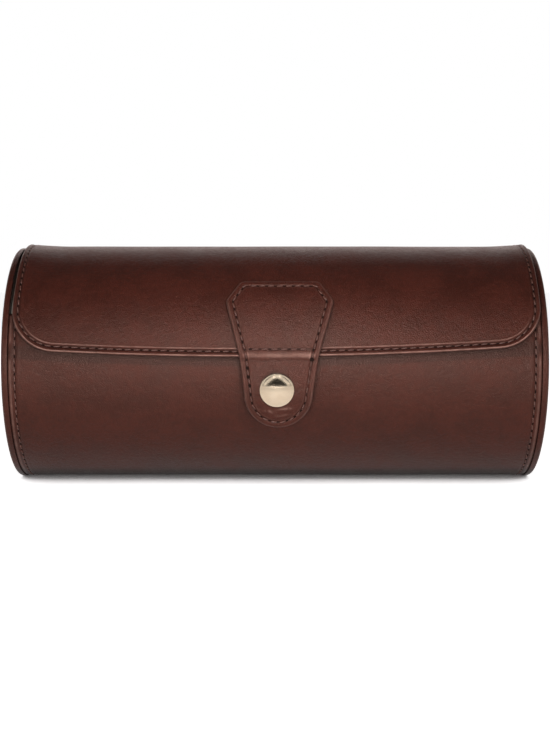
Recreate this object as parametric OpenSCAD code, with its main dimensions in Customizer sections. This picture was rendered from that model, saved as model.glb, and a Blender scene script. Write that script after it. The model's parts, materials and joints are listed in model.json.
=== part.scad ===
// Watch travel case: a leather roll with a hinged flap, a snap tab and three lift-out cushions.
// Lengths are in millimetres and angles in degrees.
// X runs along the roll, the snap is on the front (-Y) side, and the case rests on z = 0.
// Angles round the roll are counted from the front (-Y) upwards (+Z).

/* [Case] */
// Length over the two end covers
case_len = 207; // [180:1:260]
// Outer radius of the leather wrap
wrap_r = 46.2; // [44:0.1:54]
// How deep the underside of the wrap is pressed flat
rest_flat = 0.2; // [0.1:0.05:0.5]
// Thickness of the outer leather
wrap_leather = 1.2; // [0.8:0.1:1.8]
// Thickness of the shell board inside the wall
shell_board_t = 2; // [1.5:0.1:3]
// Thickness of the velvet lining
lining_t = 0.8; // [0.5:0.1:1.2]
// Width of the leather turned in over the lips of the mouth
hem_w = 8; // [5:0.5:14]

/* [Mouth] */
// Angle of the front lip of the mouth
mouth_front = 28; // [24:1:32]
// Angle of the back lip of the mouth, where the flap hinges
mouth_back = 125; // [118:1:132]

/* [End covers] */
// Thickness of an end cover's edge
cover_t = 2.5; // [2:0.1:4]
// Thickness of the leather over an end cover
cover_leather = 1; // [0.6:0.1:1.4]
// How far an end cover stands out past the wrap
cover_over = 0.3; // [0:0.1:1]
// Rounding of an end cover's outer edge
cover_round = 1.1; // [0.5:0.1:1.5]
// Thickness of the plug disc glued inside each end
plug_t = 2.5; // [1.5:0.1:4]
// Gap round the plug discs and the dividers
disc_gap = 0.2; // [0.1:0.05:0.4]

/* [Flap] */
// Thickness of the flap's leather
flap_leather_t = 1; // [0.8:0.1:1.4]
// Thickness of the board inside the flap
flap_board_t = 0.7; // [0.5:0.1:1.2]
// Thickness of the flap's lining
flap_lining_t = 0.5; // [0.4:0.1:1]
// Gap between the flap and the front lip
flap_gap = 0.35; // [0.3:0.05:1]
// Gap between the flap and each end cover
flap_end_gap = 0.3; // [0.3:0.05:1]
// Height of the middle of the flap's lower edge above the roll's axis
flap_low_h = 5.5; // [2:0.5:9]
// How much higher the lower edge is at its ends than in the middle
flap_bow = 3.5; // [1:0.5:5]
// Radius of the flap's lower corners
flap_corner = 14; // [8:1:16]
// Width of the flap's turned hem
flap_hem = 5; // [3:0.5:8]
// Radius of the fold that the flap hinges on
hinge_r = 0.75; // [0.5:0.05:1]
// Running gap round the fold
hinge_gap = 0.08; // [0.05:0.01:0.1]

/* [Tab] */
// Thickness of the tab
tab_t = 1.8; // [1.4:0.1:2.4]
// Thickness of the backing on the free end of the tab
tab_backing_t = 0.8; // [0.5:0.1:1]
// How far the free end stands off the flap's own curve
tab_rise = 0.4; // [0.2:0.1:1]
// Distance of the tab to the right of the middle
tab_x = 1.6; // [-10:0.1:10]
// Height of the tab's top edge above the roll's axis
tab_top_h = 33.6; // [32:0.2:38]
// Height of the tab's widest place above the roll's axis
tab_wide_h = 26.4; // [22:0.2:30]
// Width of the tab's top edge
tab_top_w = 29.4; // [24:0.2:34]
// Width of the tab at its widest place
tab_wide_w = 40.8; // [36:0.2:50]
// Width of the tab where it passes the flap's lower edge
tab_neck_w = 29.8; // [28:0.2:36]
// Radius of the tab's round end
tab_end_r = 12.9; // [11:0.1:14.5]
// How far the tab's tip is below the roll's axis
tab_tip_drop = 21.8; // [20:0.2:28]
// Rounding of the tab's upper corners
tab_corner = 2.5; // [1:0.5:4]

/* [Snap] */
// How far the snap is below the roll's axis
snap_drop = 6.8; // [6:0.2:10]
// Distance of the snap to the right of the middle
snap_x = 0.7; // [-10:0.1:10]
// Diameter of the snap's cap
cap_d = 13; // [11:0.5:15]
// Height of the cap's dome above its rim
cap_dome = 2.1; // [1.5:0.1:3]
// Height of the cap's rim
cap_rim = 0.5; // [0.4:0.1:0.8]
// Wall of the cap
cap_wall = 0.35; // [0.25:0.05:0.5]
// Diameter of the socket behind the tab
socket_d = 9.8; // [9:0.1:12]
// Diameter of the stud's head
head_d = 4.2; // [3.6:0.1:5]
// Diameter of the stud's neck
neck_d = 3; // [2.6:0.1:3.2]
// Diameter of the stud's base
base_d = 9.5; // [8:0.1:12]
// Thickness of the stud's base
base_t = 0.5; // [0.4:0.05:0.6]
// Diameter of the two posts that hold the snap
post_d = 2.6; // [2:0.1:2.8]
// Thickness of the wire of the spring ring
ring_wire = 0.5; // [0.3:0.05:0.55]

/* [Dividers] */
// Thickness of the board inside a divider
divider_board_t = 1.6; // [1:0.1:3]
// Thickness of the velvet on a divider
divider_velvet_t = 0.7; // [0.4:0.1:1]
// How far the dividers stay below the mouth
divider_drop = 1.7; // [1:0.1:6]
// Rounding of a divider's upper corners
divider_corner = 6; // [3:0.5:9]

/* [Cushions] */
// Length of a cushion along the roll
cushion_len = 58; // [46:1:60]
// Width of a cushion across the mouth
cushion_w = 58; // [48:1:60]
// Height of a cushion
cushion_h = 54; // [46:1:56]
// Gap under a cushion
cushion_gap = 0.4; // [0.3:0.05:1]
// Thickness of a cushion's cover
cushion_cover_t = 1.2; // [0.8:0.1:2]

/* [Hidden] */
$fn = 96;
BIG = 1000;
SEAM = 0.5; // gap at an edge where two leather pieces meet across a joint
HOLE = 0.2; // how much wider a post's hole is than the post, each way
TURN = 360;

leather_c = [0.36, 0.22, 0.18];
edge_c = [0.30, 0.18, 0.15];
board_c = [0.62, 0.56, 0.46];
velvet_c = [0.72, 0.60, 0.46];
foam_c = [0.93, 0.91, 0.84];
metal_c = [0.80, 0.74, 0.62];

axis_h = wrap_r - rest_flat;
board_out = wrap_r - wrap_leather;
board_in = board_out - shell_board_t;
lining_r = board_in - lining_t;
wall_len = case_len - 2 * cover_t;
cover_r = wrap_r + cover_over;
plug_r = lining_r - disc_gap;
inner_len = wall_len - 2 * (plug_t + lining_t);

// Angle that an arc of this length takes up at a radius
function arc_angle(length, r) = length / r * 180 / PI;

lip_a = arc_angle(wrap_leather, board_in);
hem_a = arc_angle(hem_w, lining_r);
mouth_mid = (mouth_front + mouth_back) / 2;

// The flap's curve is flush with the wrap at the hinge and clears the front lip, so its centre is shifted forward
flap_t = flap_leather_t + flap_board_t + flap_lining_t;
flap_front_r = wrap_r + flap_gap + flap_t;
flap_shift = (pow(flap_front_r, 2) - pow(wrap_r, 2))
    / (2 * (flap_front_r * cos(mouth_front) - wrap_r * cos(mouth_back)));
flap_r = norm([wrap_r * cos(mouth_back) - flap_shift, wrap_r * sin(mouth_back)]);
flap_len = wall_len - 2 * flap_end_gap;
flap_back = atan2(wrap_r * sin(mouth_back), wrap_r * cos(mouth_back) - flap_shift) - arc_angle(SEAM, flap_r);
flap_from = asin(flap_low_h / flap_r) - 15;
bow_r = (pow(flap_len / 2, 2) + pow(flap_bow, 2)) / (2 * flap_bow);

// Distance from the roll's axis, in a direction, of a circle round the flap's centre
function from_axis(r, a) = flap_shift * cos(a) + sqrt(pow(r, 2) - pow(flap_shift * sin(a), 2));

tab_in_r = flap_r + tab_rise;
tab_out_r = tab_in_r + tab_t;
snap_a = -asin(snap_drop / from_axis(tab_in_r, 0));
tab_in = from_axis(tab_in_r, snap_a);
tab_out = from_axis(tab_out_r, snap_a);

// The snap's stack, as distances from the roll's axis, from the wrap outwards
base_top = wrap_r + base_t;
socket_low = base_top + 0.3;
socket_lip = 0.2;
socket_web = 0.4;
ring_h = socket_low + socket_lip + ring_wire / 2 + 0.03;
ring_r = (head_d / 2 + neck_d / 2) / 2 + ring_wire / 2;
web_low = tab_in - socket_web;
flare_t = 0.25;
flare_low = web_low - flare_t;
head_top = flare_low - 0.2;
head_low = ring_h + ring_wire / 2;
flange_t = 0.5;
flange_low = board_in + 0.05;
flange_d = 8;

divider_t = divider_board_t + 2 * divider_velvet_t;
bay_w = (inner_len - 2 * divider_t) / 3;
bay_pitch = bay_w + divider_t;
divider_top = lining_r * cos((mouth_back - mouth_front) / 2) - divider_drop;

LEFT = -1;
MIDDLE = 0;
RIGHT = 1;

// ---- Frames and shapes that several pieces share ----

// The roll's own axes: x to the front, y up and z along the roll
module on_roll(shift = 0)
    translate([0, -shift, axis_h]) rotate([90, 0, -90]) children();

// Part of a tube along the roll, between two angles
module arc_wall(r, t, from, to, length, shift = 0)
    on_roll(shift) rotate([0, 0, from]) rotate_extrude(angle = to - from)
        translate([r, -length / 2]) square([t, length]);

// Everything inside a radius
module roll_core(r, shift = 0)
    on_roll(shift) cylinder(r = r, h = BIG, center = true, $fn = 720);

// A flat outline in the front view, cut through the whole depth
module front_view()
    translate([0, BIG / 2, axis_h]) rotate([90, 0, 0]) linear_extrude(BIG) children();

// The same, for what is in front of the axis only
module front_half()
    translate([0, 0, axis_h]) rotate([90, 0, 0]) linear_extrude(BIG / 2) children();

module at_hinge()
    on_roll() rotate([0, 0, mouth_back]) translate([wrap_r, 0, 0]) children();

// The snap's axis: z points out of the roll, and counts from the roll's axis
module at_snap()
    translate([snap_x, 0, 0]) on_roll() rotate([0, 0, snap_a]) rotate([0, 90, 0]) children();

// An end of the case: z points outwards, and counts from the end of the wall
module at_end(side)
    translate([side * wall_len / 2, 0, axis_h]) rotate([0, side * 90, 0]) children();

// A bay between the dividers: y points out of the mouth and z runs along the roll
module in_bay(x)
    translate([x, 0, 0]) on_roll() rotate([0, 0, mouth_mid - 90]) children();

// Everything below the surface that the case rests on
module below_rest()
    translate([-BIG / 2, -BIG / 2, -BIG]) cube([BIG, BIG, BIG]);

// ---- Wall of the case ----

module outer_wrap() {
    front_end = mouth_front + TURN;
    color(leather_c) difference() {
        union() {
            arc_wall(board_out, wrap_leather, mouth_back, front_end, wall_len);
            arc_wall(lining_r, wrap_r - lining_r, mouth_back, mouth_back + lip_a, wall_len);
            arc_wall(lining_r, wrap_r - lining_r, front_end - lip_a, front_end, wall_len);
            arc_wall(lining_r, lining_t, mouth_back, mouth_back + hem_a, wall_len);
            arc_wall(lining_r, lining_t, front_end - hem_a, front_end, wall_len);
        }
        below_rest();
        at_hinge() cylinder(r = hinge_r, h = flap_len, center = true);
        at_snap() cylinder(d = post_d + 2 * HOLE, h = BIG);
    }
}

module shell_board() {
    color(board_c) difference() {
        arc_wall(board_in, shell_board_t, mouth_back + lip_a, mouth_front + TURN - lip_a, wall_len);
        at_snap() {
            cylinder(d = post_d + 2 * HOLE, h = BIG);
            cylinder(d = flange_d + 2 * HOLE, h = flange_low + flange_t);
        }
    }
}

module shell_lining()
    color(velvet_c) arc_wall(lining_r, lining_t, mouth_back + hem_a, mouth_front + TURN - hem_a, wall_len);

module hinge_fold()
    color(edge_c) at_hinge() cylinder(r = hinge_r, h = flap_len, center = true);

// ---- Ends of the case ----

// Half of a disc's section, with its outer corner rounded
module cover_section() {
    square([cover_r - cover_round, cover_t]);
    square([cover_r, cover_t - cover_round]);
    translate([cover_r - cover_round, cover_t - cover_round]) intersection() {
        circle(r = cover_round);
        square(cover_round);
    }
}

module end_cover(side)
    color(leather_c) difference() {
        at_end(side) rotate_extrude() difference() {
            cover_section();
            square([cover_r - cover_leather - cover_over, cover_t - cover_leather]);
        }
        below_rest();
    }

module end_board(side)
    color(board_c) at_end(side)
        cylinder(r = cover_r - cover_leather - cover_over, h = cover_t - cover_leather);

module end_plug(side)
    color(board_c) at_end(side) mirror([0, 0, 1]) cylinder(r = plug_r, h = plug_t);

module end_lining(side)
    color(velvet_c) at_end(side) translate([0, 0, -plug_t - lining_t]) cylinder(r = plug_r, h = lining_t);

// ---- Dividers ----

// Points of an arc, without its first one
function arc_points(centre, r, from, to, steps) =
    [for (i = [1:steps]) let (a = from + (to - from) * i / steps) centre + r * [cos(a), sin(a)]];

// A disc cut off straight at the top, with round corners
module divider_outline(inset) {
    r = lining_r - disc_gap - inset;
    corner = divider_corner - inset;
    corner_y = divider_top - divider_corner;
    corner_x = sqrt(pow(r - corner, 2) - pow(corner_y, 2));
    corner_a = atan2(corner_y, corner_x);
    polygon(concat(
        arc_points([0, 0], r, -180 - corner_a, corner_a, 72),
        arc_points([corner_x, corner_y], corner, corner_a, 90, 6),
        arc_points([-corner_x, corner_y], corner, 90, 180 - corner_a, 6)
    ));
}

module divider_board(side)
    color(board_c) in_bay(side * bay_pitch / 2)
        linear_extrude(divider_board_t, center = true) divider_outline(divider_velvet_t);

module divider_cover(side)
    color(velvet_c) in_bay(side * bay_pitch / 2) difference() {
        linear_extrude(divider_t, center = true) divider_outline(0);
        linear_extrude(divider_board_t, center = true) divider_outline(divider_velvet_t);
    }

// ---- Flap ----

// The flap seen from the front, drawn in by inset: its lower edge is a long bow between two round corners
module flap_outline(inset) {
    half = flap_len / 2 - inset;
    corner = flap_corner - inset;
    bow = bow_r - inset;
    bow_y = flap_low_h + bow_r;
    corner_x = half - corner;
    corner_y = bow_y - sqrt(pow(bow - corner, 2) - pow(corner_x, 2));
    difference() {
        intersection() {
            translate([-half, 0]) square([2 * half, wrap_r * 2]);
            translate([0, bow_y]) circle(r = bow, $fn = 360);
        }
        for (side = [LEFT, RIGHT]) scale([side, 1]) difference() {
            translate([corner_x, 0]) square([flap_corner * 2, corner_y]);
            translate([corner_x, corner_y]) circle(r = corner);
        }
    }
}

module flap_layer(r, t, inset)
    intersection() {
        arc_wall(r, t, flap_from, flap_back - arc_angle(inset, flap_r), flap_len + 2, flap_shift);
        front_view() flap_outline(inset);
    }

module flap_leather()
    color(leather_c) difference() {
        flap_layer(flap_r - flap_t, flap_t, 0);
        flap_layer(flap_r - flap_t - 1, flap_t + 1 - flap_leather_t, flap_hem);
        at_hinge() cylinder(r = hinge_r + hinge_gap, h = case_len, center = true);
    }

module flap_board()
    color(board_c) flap_layer(flap_r - flap_leather_t - flap_board_t, flap_board_t, flap_hem);

module flap_lining()
    color(velvet_c) flap_layer(flap_r - flap_t, flap_lining_t, flap_hem);

// ---- Tab ----

// Points of a corner at p, between a and b, rounded to a radius
function round_corner(a, p, b, r, steps = 4) =
    let (
        u = (a - p) / norm(a - p),
        v = (b - p) / norm(b - p),
        half = acos(u * v) / 2,
        middle = p + (u + v) / norm(u + v) * r / sin(half),
        first = p + u * r / tan(half) - middle,
        turn = (180 - 2 * half) * sign(u.x * v.y - u.y * v.x)
    )
    [for (i = [0:steps]) let (t = -turn * i / steps)
        middle + [first.x * cos(t) - first.y * sin(t), first.x * sin(t) + first.y * cos(t)]];

// The tab seen from the front: a six-sided top that narrows to a round end
module tab_outline() {
    end_y = tab_end_r - tab_tip_drop;
    neck = [tab_neck_w / 2, flap_low_h];
    wide = [tab_wide_w / 2, tab_wide_h];
    top = [tab_top_w / 2, tab_top_h];
    right = concat(
        [[tab_end_r, end_y], neck],
        round_corner(neck, wide, top, tab_corner),
        round_corner(wide, top, [-top.x, top.y], tab_corner)
    );
    left = [for (i = [len(right) - 1:-1:0]) [-right[i].x, right[i].y]];
    translate([tab_x, 0]) {
        polygon(concat(right, left));
        translate([0, end_y]) circle(r = tab_end_r);
    }
}

// A layer of the tab, above or below the flap's lower edge
module tab_layer(r, t, low, high)
    intersection() {
        arc_wall(r, t, -90, 90, tab_wide_w * 2, flap_shift);
        front_half() intersection() {
            tab_outline();
            translate([-BIG / 2, low]) square([BIG, high - low]);
        }
    }

module tab_strap()
    color(leather_c) tab_layer(flap_r, tab_t, flap_low_h + SEAM / 2, wrap_r);

module post_hole()
    at_snap() cylinder(d = post_d + 2 * HOLE, h = BIG);

module tab_end()
    color(leather_c) difference() {
        tab_layer(tab_in_r + tab_backing_t, tab_t - tab_backing_t, -wrap_r, flap_low_h - SEAM / 2);
        post_hole();
    }

module tab_backing()
    color(edge_c) difference() {
        tab_layer(tab_in_r, tab_backing_t, -wrap_r, flap_low_h - SEAM / 2);
        post_hole();
    }

// ---- Snap ----

// The stud and the rivet behind it hold the wall between them
module snap_stud()
    color(metal_c) difference() {
        at_snap() rotate_extrude() polygon([
            [0, board_out], [base_d / 2, board_out], [base_d / 2, base_top - base_t / 2],
            [base_d / 2 - base_t / 2, base_top], [neck_d / 2, base_top], [neck_d / 2, head_low],
            [head_d / 2, (head_low + head_top) / 2], [neck_d / 2, head_top], [0, head_top]
        ]);
        roll_core(wrap_r);
    }

module snap_rivet()
    color(metal_c) intersection() {
        at_snap() {
            translate([0, 0, flange_low]) cylinder(d = flange_d, h = flange_t);
            translate([0, 0, flange_low]) cylinder(d = post_d, h = wrap_r);
        }
        roll_core(wrap_r);
    }

// A domed cap, a post through the tab and the flare that holds the socket
module snap_cap() {
    rim_top = tab_out + cap_rim;
    dome_r = (pow(cap_d / 2, 2) + pow(cap_dome, 2)) / (2 * cap_dome);
    color(metal_c) union() {
        difference() {
            at_snap() difference() {
                union() {
                    translate([0, 0, tab_in]) cylinder(d = cap_d, h = rim_top - tab_in);
                    intersection() {
                        translate([0, 0, rim_top]) cylinder(d = cap_d, h = cap_d);
                        translate([0, 0, rim_top + cap_dome - dome_r]) sphere(r = dome_r);
                    }
                }
                intersection() {
                    translate([0, 0, tab_in - 1]) cylinder(d = cap_d - 2 * cap_wall, h = cap_d);
                    translate([0, 0, rim_top + cap_dome - dome_r]) sphere(r = dome_r - cap_wall);
                }
            }
            roll_core(tab_out_r, flap_shift);
        }
        at_snap() {
            translate([0, 0, flare_low]) cylinder(d = post_d, h = rim_top + cap_dome - cap_wall / 2 - flare_low);
            translate([0, 0, flare_low]) cylinder(d = post_d + 2 * HOLE + 0.8, h = flare_t);
        }
    }
}

// A cup behind the tab, with a lip and a groove that hold the spring ring
module snap_socket()
    color(metal_c) intersection() {
        at_snap() difference() {
            translate([0, 0, socket_low]) cylinder(d = socket_d, h = tab_out - socket_low);
            translate([0, 0, socket_low - 1]) cylinder(d = head_d + 2 * HOLE, h = web_low - socket_low + 1);
            translate([0, 0, socket_low + socket_lip])
                cylinder(r = ring_r + ring_wire / 2 + 0.1, h = ring_wire + 0.1);
            cylinder(d = post_d + 2 * HOLE, h = BIG);
        }
        roll_core(tab_in_r, flap_shift);
    }

module snap_spring() {
    split = 40;
    color(metal_c) at_snap() translate([0, 0, ring_h]) rotate([0, 0, split / 2])
        rotate_extrude(angle = TURN - split) translate([ring_r, 0]) circle(d = ring_wire, $fn = 24);
}

// ---- Cushions ----

// Power of a number that keeps its sign
function signed_pow(x, p) = sign(x) * pow(abs(x), p);

// A closed pillow of rings along z, drawn in towards both ends, with an oval section
module pillow(length, width, height, around = 28, along = 12) {
    squareness = 0.85;
    ring = [for (j = [0:around - 1]) let (t = TURN * j / around)
        [width / 2 * signed_pow(cos(t), squareness), height / 2 * signed_pow(sin(t), squareness)]];
    inner = [for (i = [1:along - 1]) let (
            t = -90 + 180 * i / along,
            size = pow(cos(t), 0.3),
            z = length / 2 * signed_pow(sin(t), 0.55)
        )
        for (p = ring) [p.x * size, p.y * size, z]];
    points = concat([[0, 0, -length / 2]], inner, [[0, 0, length / 2]]);
    last = len(points) - 1;
    polyhedron(points, concat(
        [for (j = [0:around - 1]) [0, 1 + j, 1 + (j + 1) % around]],
        [for (i = [0:along - 3], j = [0:around - 1]) let (
                a = 1 + i * around + j,
                b = 1 + i * around + (j + 1) % around
            )
            each [[a, a + around, b + around], [a, b + around, b]]],
        [for (j = [0:around - 1]) [last, last - around + (j + 1) % around, last - around + j]]
    ));
}

module at_cushion(place)
    in_bay(place * bay_pitch) translate([0, cushion_gap + cushion_h / 2 - lining_r, 0]) children();

module cushion_core(place)
    color(foam_c) at_cushion(place) pillow(cushion_len - 2 * cushion_cover_t,
        cushion_w - 2 * cushion_cover_t, cushion_h - 2 * cushion_cover_t);

module cushion_cover(place)
    color(velvet_c) at_cushion(place) difference() {
        pillow(cushion_len, cushion_w, cushion_h);
        pillow(cushion_len - 2 * cushion_cover_t,
            cushion_w - 2 * cushion_cover_t, cushion_h - 2 * cushion_cover_t);
    }

// ---- The whole case ----

outer_wrap();
shell_board();
shell_lining();
hinge_fold();
end_cover(LEFT);  // end_cover_left
end_cover(RIGHT);  // end_cover_right
end_board(LEFT);  // end_board_left
end_board(RIGHT);  // end_board_right
end_plug(LEFT);  // end_plug_left
end_plug(RIGHT);  // end_plug_right
end_lining(LEFT);  // end_lining_left
end_lining(RIGHT);  // end_lining_right
divider_board(LEFT);  // divider_board_left
divider_board(RIGHT);  // divider_board_right
divider_cover(LEFT);  // divider_cover_left
divider_cover(RIGHT);  // divider_cover_right
snap_stud();
snap_rivet();
flap_leather();
flap_board();
flap_lining();
tab_strap();
tab_end();
tab_backing();
snap_cap();
snap_socket();
snap_spring();
cushion_cover(LEFT);  // cushion_cover_left
cushion_cover(MIDDLE);  // cushion_cover_middle
cushion_cover(RIGHT);  // cushion_cover_right
cushion_core(LEFT);  // cushion_core_left
cushion_core(MIDDLE);  // cushion_core_middle
cushion_core(RIGHT);  // cushion_core_right
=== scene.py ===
"""Watch travel case: a leather roll with a hinged flap, a snap tab and three lift-out cushions.

The frame's CAD model gives every place and size. X runs along the roll, the snap is on the -Y side
and the case rests on z = 0. Shapes are worked out in millimetres and put into the meshes in metres.
Angles round the roll are counted from the front upwards.
"""

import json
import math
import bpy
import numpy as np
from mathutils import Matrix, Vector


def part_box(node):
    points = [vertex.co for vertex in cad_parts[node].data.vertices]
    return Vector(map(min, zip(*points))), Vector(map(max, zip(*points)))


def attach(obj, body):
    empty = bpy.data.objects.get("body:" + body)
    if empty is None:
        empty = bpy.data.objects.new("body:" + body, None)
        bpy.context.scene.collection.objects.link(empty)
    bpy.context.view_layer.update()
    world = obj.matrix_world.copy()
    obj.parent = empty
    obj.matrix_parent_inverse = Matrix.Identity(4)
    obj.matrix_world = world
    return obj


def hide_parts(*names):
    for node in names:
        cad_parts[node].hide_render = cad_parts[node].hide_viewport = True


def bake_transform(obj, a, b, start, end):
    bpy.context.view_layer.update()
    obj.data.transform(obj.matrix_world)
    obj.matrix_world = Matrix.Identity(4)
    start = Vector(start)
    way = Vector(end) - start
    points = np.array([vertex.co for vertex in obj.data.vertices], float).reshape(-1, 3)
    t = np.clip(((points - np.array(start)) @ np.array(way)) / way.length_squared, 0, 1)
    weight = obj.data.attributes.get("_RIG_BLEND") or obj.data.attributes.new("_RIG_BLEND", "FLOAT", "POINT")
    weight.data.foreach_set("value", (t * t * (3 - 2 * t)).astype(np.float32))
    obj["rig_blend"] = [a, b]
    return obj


bl_info = {
    "name": "Watch travel case",
    "version": (1, 0, 0),
    "blender": (4, 5, 0),
    "location": "View3D > Sidebar > Watch Case",
    "description": "Dresses the watch travel case in leather, velvet, thread and metal",
    "category": "Object",
}

import bmesh
import bpy
import numpy as np
from bpy.props import FloatProperty, FloatVectorProperty, PointerProperty
from mathutils import Matrix

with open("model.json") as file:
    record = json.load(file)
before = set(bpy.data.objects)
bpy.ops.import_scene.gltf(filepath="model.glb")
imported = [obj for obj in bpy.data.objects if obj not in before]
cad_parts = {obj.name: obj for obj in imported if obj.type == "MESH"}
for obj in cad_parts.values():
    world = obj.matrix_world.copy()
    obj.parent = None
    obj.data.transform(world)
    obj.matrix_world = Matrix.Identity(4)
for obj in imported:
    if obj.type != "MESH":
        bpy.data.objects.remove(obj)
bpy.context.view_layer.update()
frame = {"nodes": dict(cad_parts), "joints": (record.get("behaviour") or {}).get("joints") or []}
MM = 0.001


# ---- Places and sizes that the frame gives, in millimetres ----


def corners(node):
    """Lowest and highest corner of a CAD node, in millimetres."""
    low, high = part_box(node)
    return np.array(low) / MM, np.array(high) / MM


def joint_place(name):
    """The point on a joint's axis that the record gives, in millimetres."""
    joint = next(j for j in frame["joints"] if j["name"] == name)
    return np.array(joint["pos_m"], float) / MM


WALL_HALF = corners("outer_wrap")[1][0]
CASE_HALF = corners("end_cover_right")[1][0]
WRAP_R = corners("outer_wrap")[1][1]
AXIS_Z = float(np.mean([c[2] for c in corners("end_board_right")]))
COVER_R = corners("end_cover_right")[1][1]
PLUG_R = corners("end_plug_right")[1][1]
BOARD_IN = corners("shell_lining")[1][1]
PLUG_FACE = corners("end_plug_right")[0][0]
LINING_FACE = corners("end_lining_right")[0][0]
FLAP_R = corners("flap_leather")[1][2] - AXIS_Z
FLAP_HALF = corners("flap_leather")[1][0]
FLAP_LOW = corners("flap_leather")[0][2] - AXIS_Z
HINGE = joint_place("flap_open")
HINGE_H = HINGE[2] - AXIS_Z
SHIFT = math.sqrt(FLAP_R**2 - HINGE_H**2) - HINGE[1]
MOUTH_BACK = math.pi - math.atan2(HINGE_H, HINGE[1])
FLAP_BACK = math.pi - math.atan2(HINGE_H, HINGE[1] + SHIFT)
TAB_AXIS = joint_place("tab_pull")
TAB_X = float(np.mean([c[0] for c in corners("tab_strap")]))
TAB_TOP_H = corners("tab_strap")[1][2] - AXIS_Z
TAB_WIDE = (corners("tab_strap")[1][0] - corners("tab_strap")[0][0]) / 2
TAB_TIP_H = corners("tab_end")[0][2] - AXIS_Z
SNAP_H = float(np.mean([c[2] for c in corners("snap_spring")])) - AXIS_Z
SNAP_X = float(np.mean([c[0] for c in corners("snap_cap")]))


# ---- Sizes and colours that a user may change ----


def millimetres(label, note, default, low, high):
    """A length property in millimetres."""
    limits = {"min": low, "max": high, "unit": "NONE", "precision": 2}
    return FloatProperty(name=label, description=note, default=default, **limits)


def hue(label, note, default):
    """A colour property."""
    limits = {"size": 3, "min": 0.0, "max": 1.0, "subtype": "COLOR"}
    return FloatVectorProperty(name=label, description=note, default=default, **limits)


class WatchCaseSizes(bpy.types.PropertyGroup):
    """Sizes of the sewn and pressed details, in millimetres."""

    mouth_front: FloatProperty(
        name="Front lip",
        description="Angle of the mouth's front lip",
        default=math.radians(28),
        min=0.3,
        max=0.7,
        subtype="ANGLE",
    )
    leather: millimetres("Leather", "Thickness of the outer leather", 1.2, 0.6, 2.0)
    flap_thick: millimetres("Flap", "Thickness of the whole flap", 2.2, 1.0, 4.0)
    flap_bow: millimetres("Flap bow", "How much higher the flap's lower edge is at its ends", 3.5, 0.0, 6.0)
    flap_corner: millimetres("Flap corner", "Radius of the flap's lower corners", 17.0, 6.0, 20.0)
    flap_aside: millimetres("Flap aside", "How far the flap sits to the right of the middle", 0.6, -1.0, 1.0)
    flap_narrow: millimetres("Flap narrowing", "How much each end of the flap is drawn in", 0.65, 0.0, 2.0)
    flap_skew: millimetres("Flap skew", "How much higher its right end is than its left end", 1.5, -3.0, 3.0)
    flap_lift: millimetres("Flap lift", "How far the flap's ends stand up over the top", 0.55, 0.0, 2.0)
    hem_full: millimetres("Hem fullness", "How far the hem bulges below the flat edge", 0.4, 0.0, 0.8)
    flap_hem: millimetres("Flap hem", "Width of the leather turned under the flap", 5.0, 3.0, 8.0)
    hinge_width: millimetres("Hinge", "Width of the strip that folds when the flap opens", 5.5, 3.0, 9.0)
    stitch_pitch: millimetres("Stitch pitch", "Distance from one stitch to the next", 3.35, 2.0, 5.0)
    stitch_length: millimetres("Stitch length", "Length of the thread that shows", 2.5, 1.0, 4.0)
    thread: millimetres("Thread", "Thickness of the thread", 0.5, 0.2, 1.0)
    flap_stitch: millimetres("Flap stitch inset", "Distance of the stitches from its edge", 2.2, 2.0, 6.0)
    wrap_stitch: millimetres("End stitch inset", "Distance of the stitches from its ends", 2.6, 1.5, 5.0)
    tab_stitch: millimetres("Tab stitch inset", "Distance of the stitches from the tab's edge", 2.5, 1.5, 5.0)
    tab_thick: millimetres("Tab", "Thickness of the tab", 1.8, 1.0, 3.0)
    cap_width: millimetres("Cap width", "Diameter of the snap's cap", 13.0, 8.0, 18.0)
    cap_dome: millimetres("Cap dome", "Height of the cap's dome", 2.1, 1.0, 4.0)
    velvet: millimetres("Velvet", "Thickness of the velvet lining", 0.8, 0.3, 2.0)


class WatchCaseColours(bpy.types.PropertyGroup):
    """Colours of the leather, velvet, thread, board and metal."""

    leather: hue("Leather", "Outer leather", (0.037, 0.0077, 0.0045))
    thread: hue("Thread", "Sewing thread", (0.085, 0.033, 0.023))
    lining: hue("Lining", "Velvet of the trough and the flap", (0.46, 0.32, 0.20))
    cushion: hue("Cushion", "Velvet of the cushions", (0.52, 0.37, 0.24))
    board: hue("Board", "Grey board inside the wall and the flap", (0.30, 0.25, 0.18))
    cap: hue("Cap", "Polished cap of the snap", (0.86, 0.70, 0.52))
    snap: hue("Snap", "Nickel of the stud, the socket and the rivet", (0.62, 0.60, 0.56))
    floor: hue("Floor", "Floor and backdrop", (0.80, 0.78, 0.78))


def sizes():
    """The sizes that the scene holds."""
    return bpy.context.scene.watch_case_sizes


def colours():
    """The colours that the scene holds."""
    return bpy.context.scene.watch_case_colours


# ---- Node groups and materials ----

FLOAT, COLOUR, VECTOR = "NodeSocketFloat", "NodeSocketColor", "NodeSocketVector"


def put(tree, socket, value):
    """Sets a socket to a value, or links it to another socket."""
    if isinstance(value, bpy.types.NodeSocket):
        tree.links.new(value, socket)
    else:
        socket.default_value = value


def put_all(tree, node, **values):
    """Sets or links several inputs of a node. An underscore in a name stands for a space."""
    for key, value in values.items():
        put(tree, node.inputs[key.replace("_", " ")], value)


def add_node(tree, kind, settings=None, **inputs):
    """A shader node with its settings and input values."""
    node = tree.nodes.new(kind)
    for key, value in (settings or {}).items():
        setattr(node, key, value)
    put_all(tree, node, **inputs)
    return node


def add_math(tree, operation, first, second=0.0):
    """One Math node's output."""
    node = add_node(tree, "ShaderNodeMath", {"operation": operation})
    put(tree, node.inputs[0], first)
    put(tree, node.inputs[1], second)
    return node.outputs[0]


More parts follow.
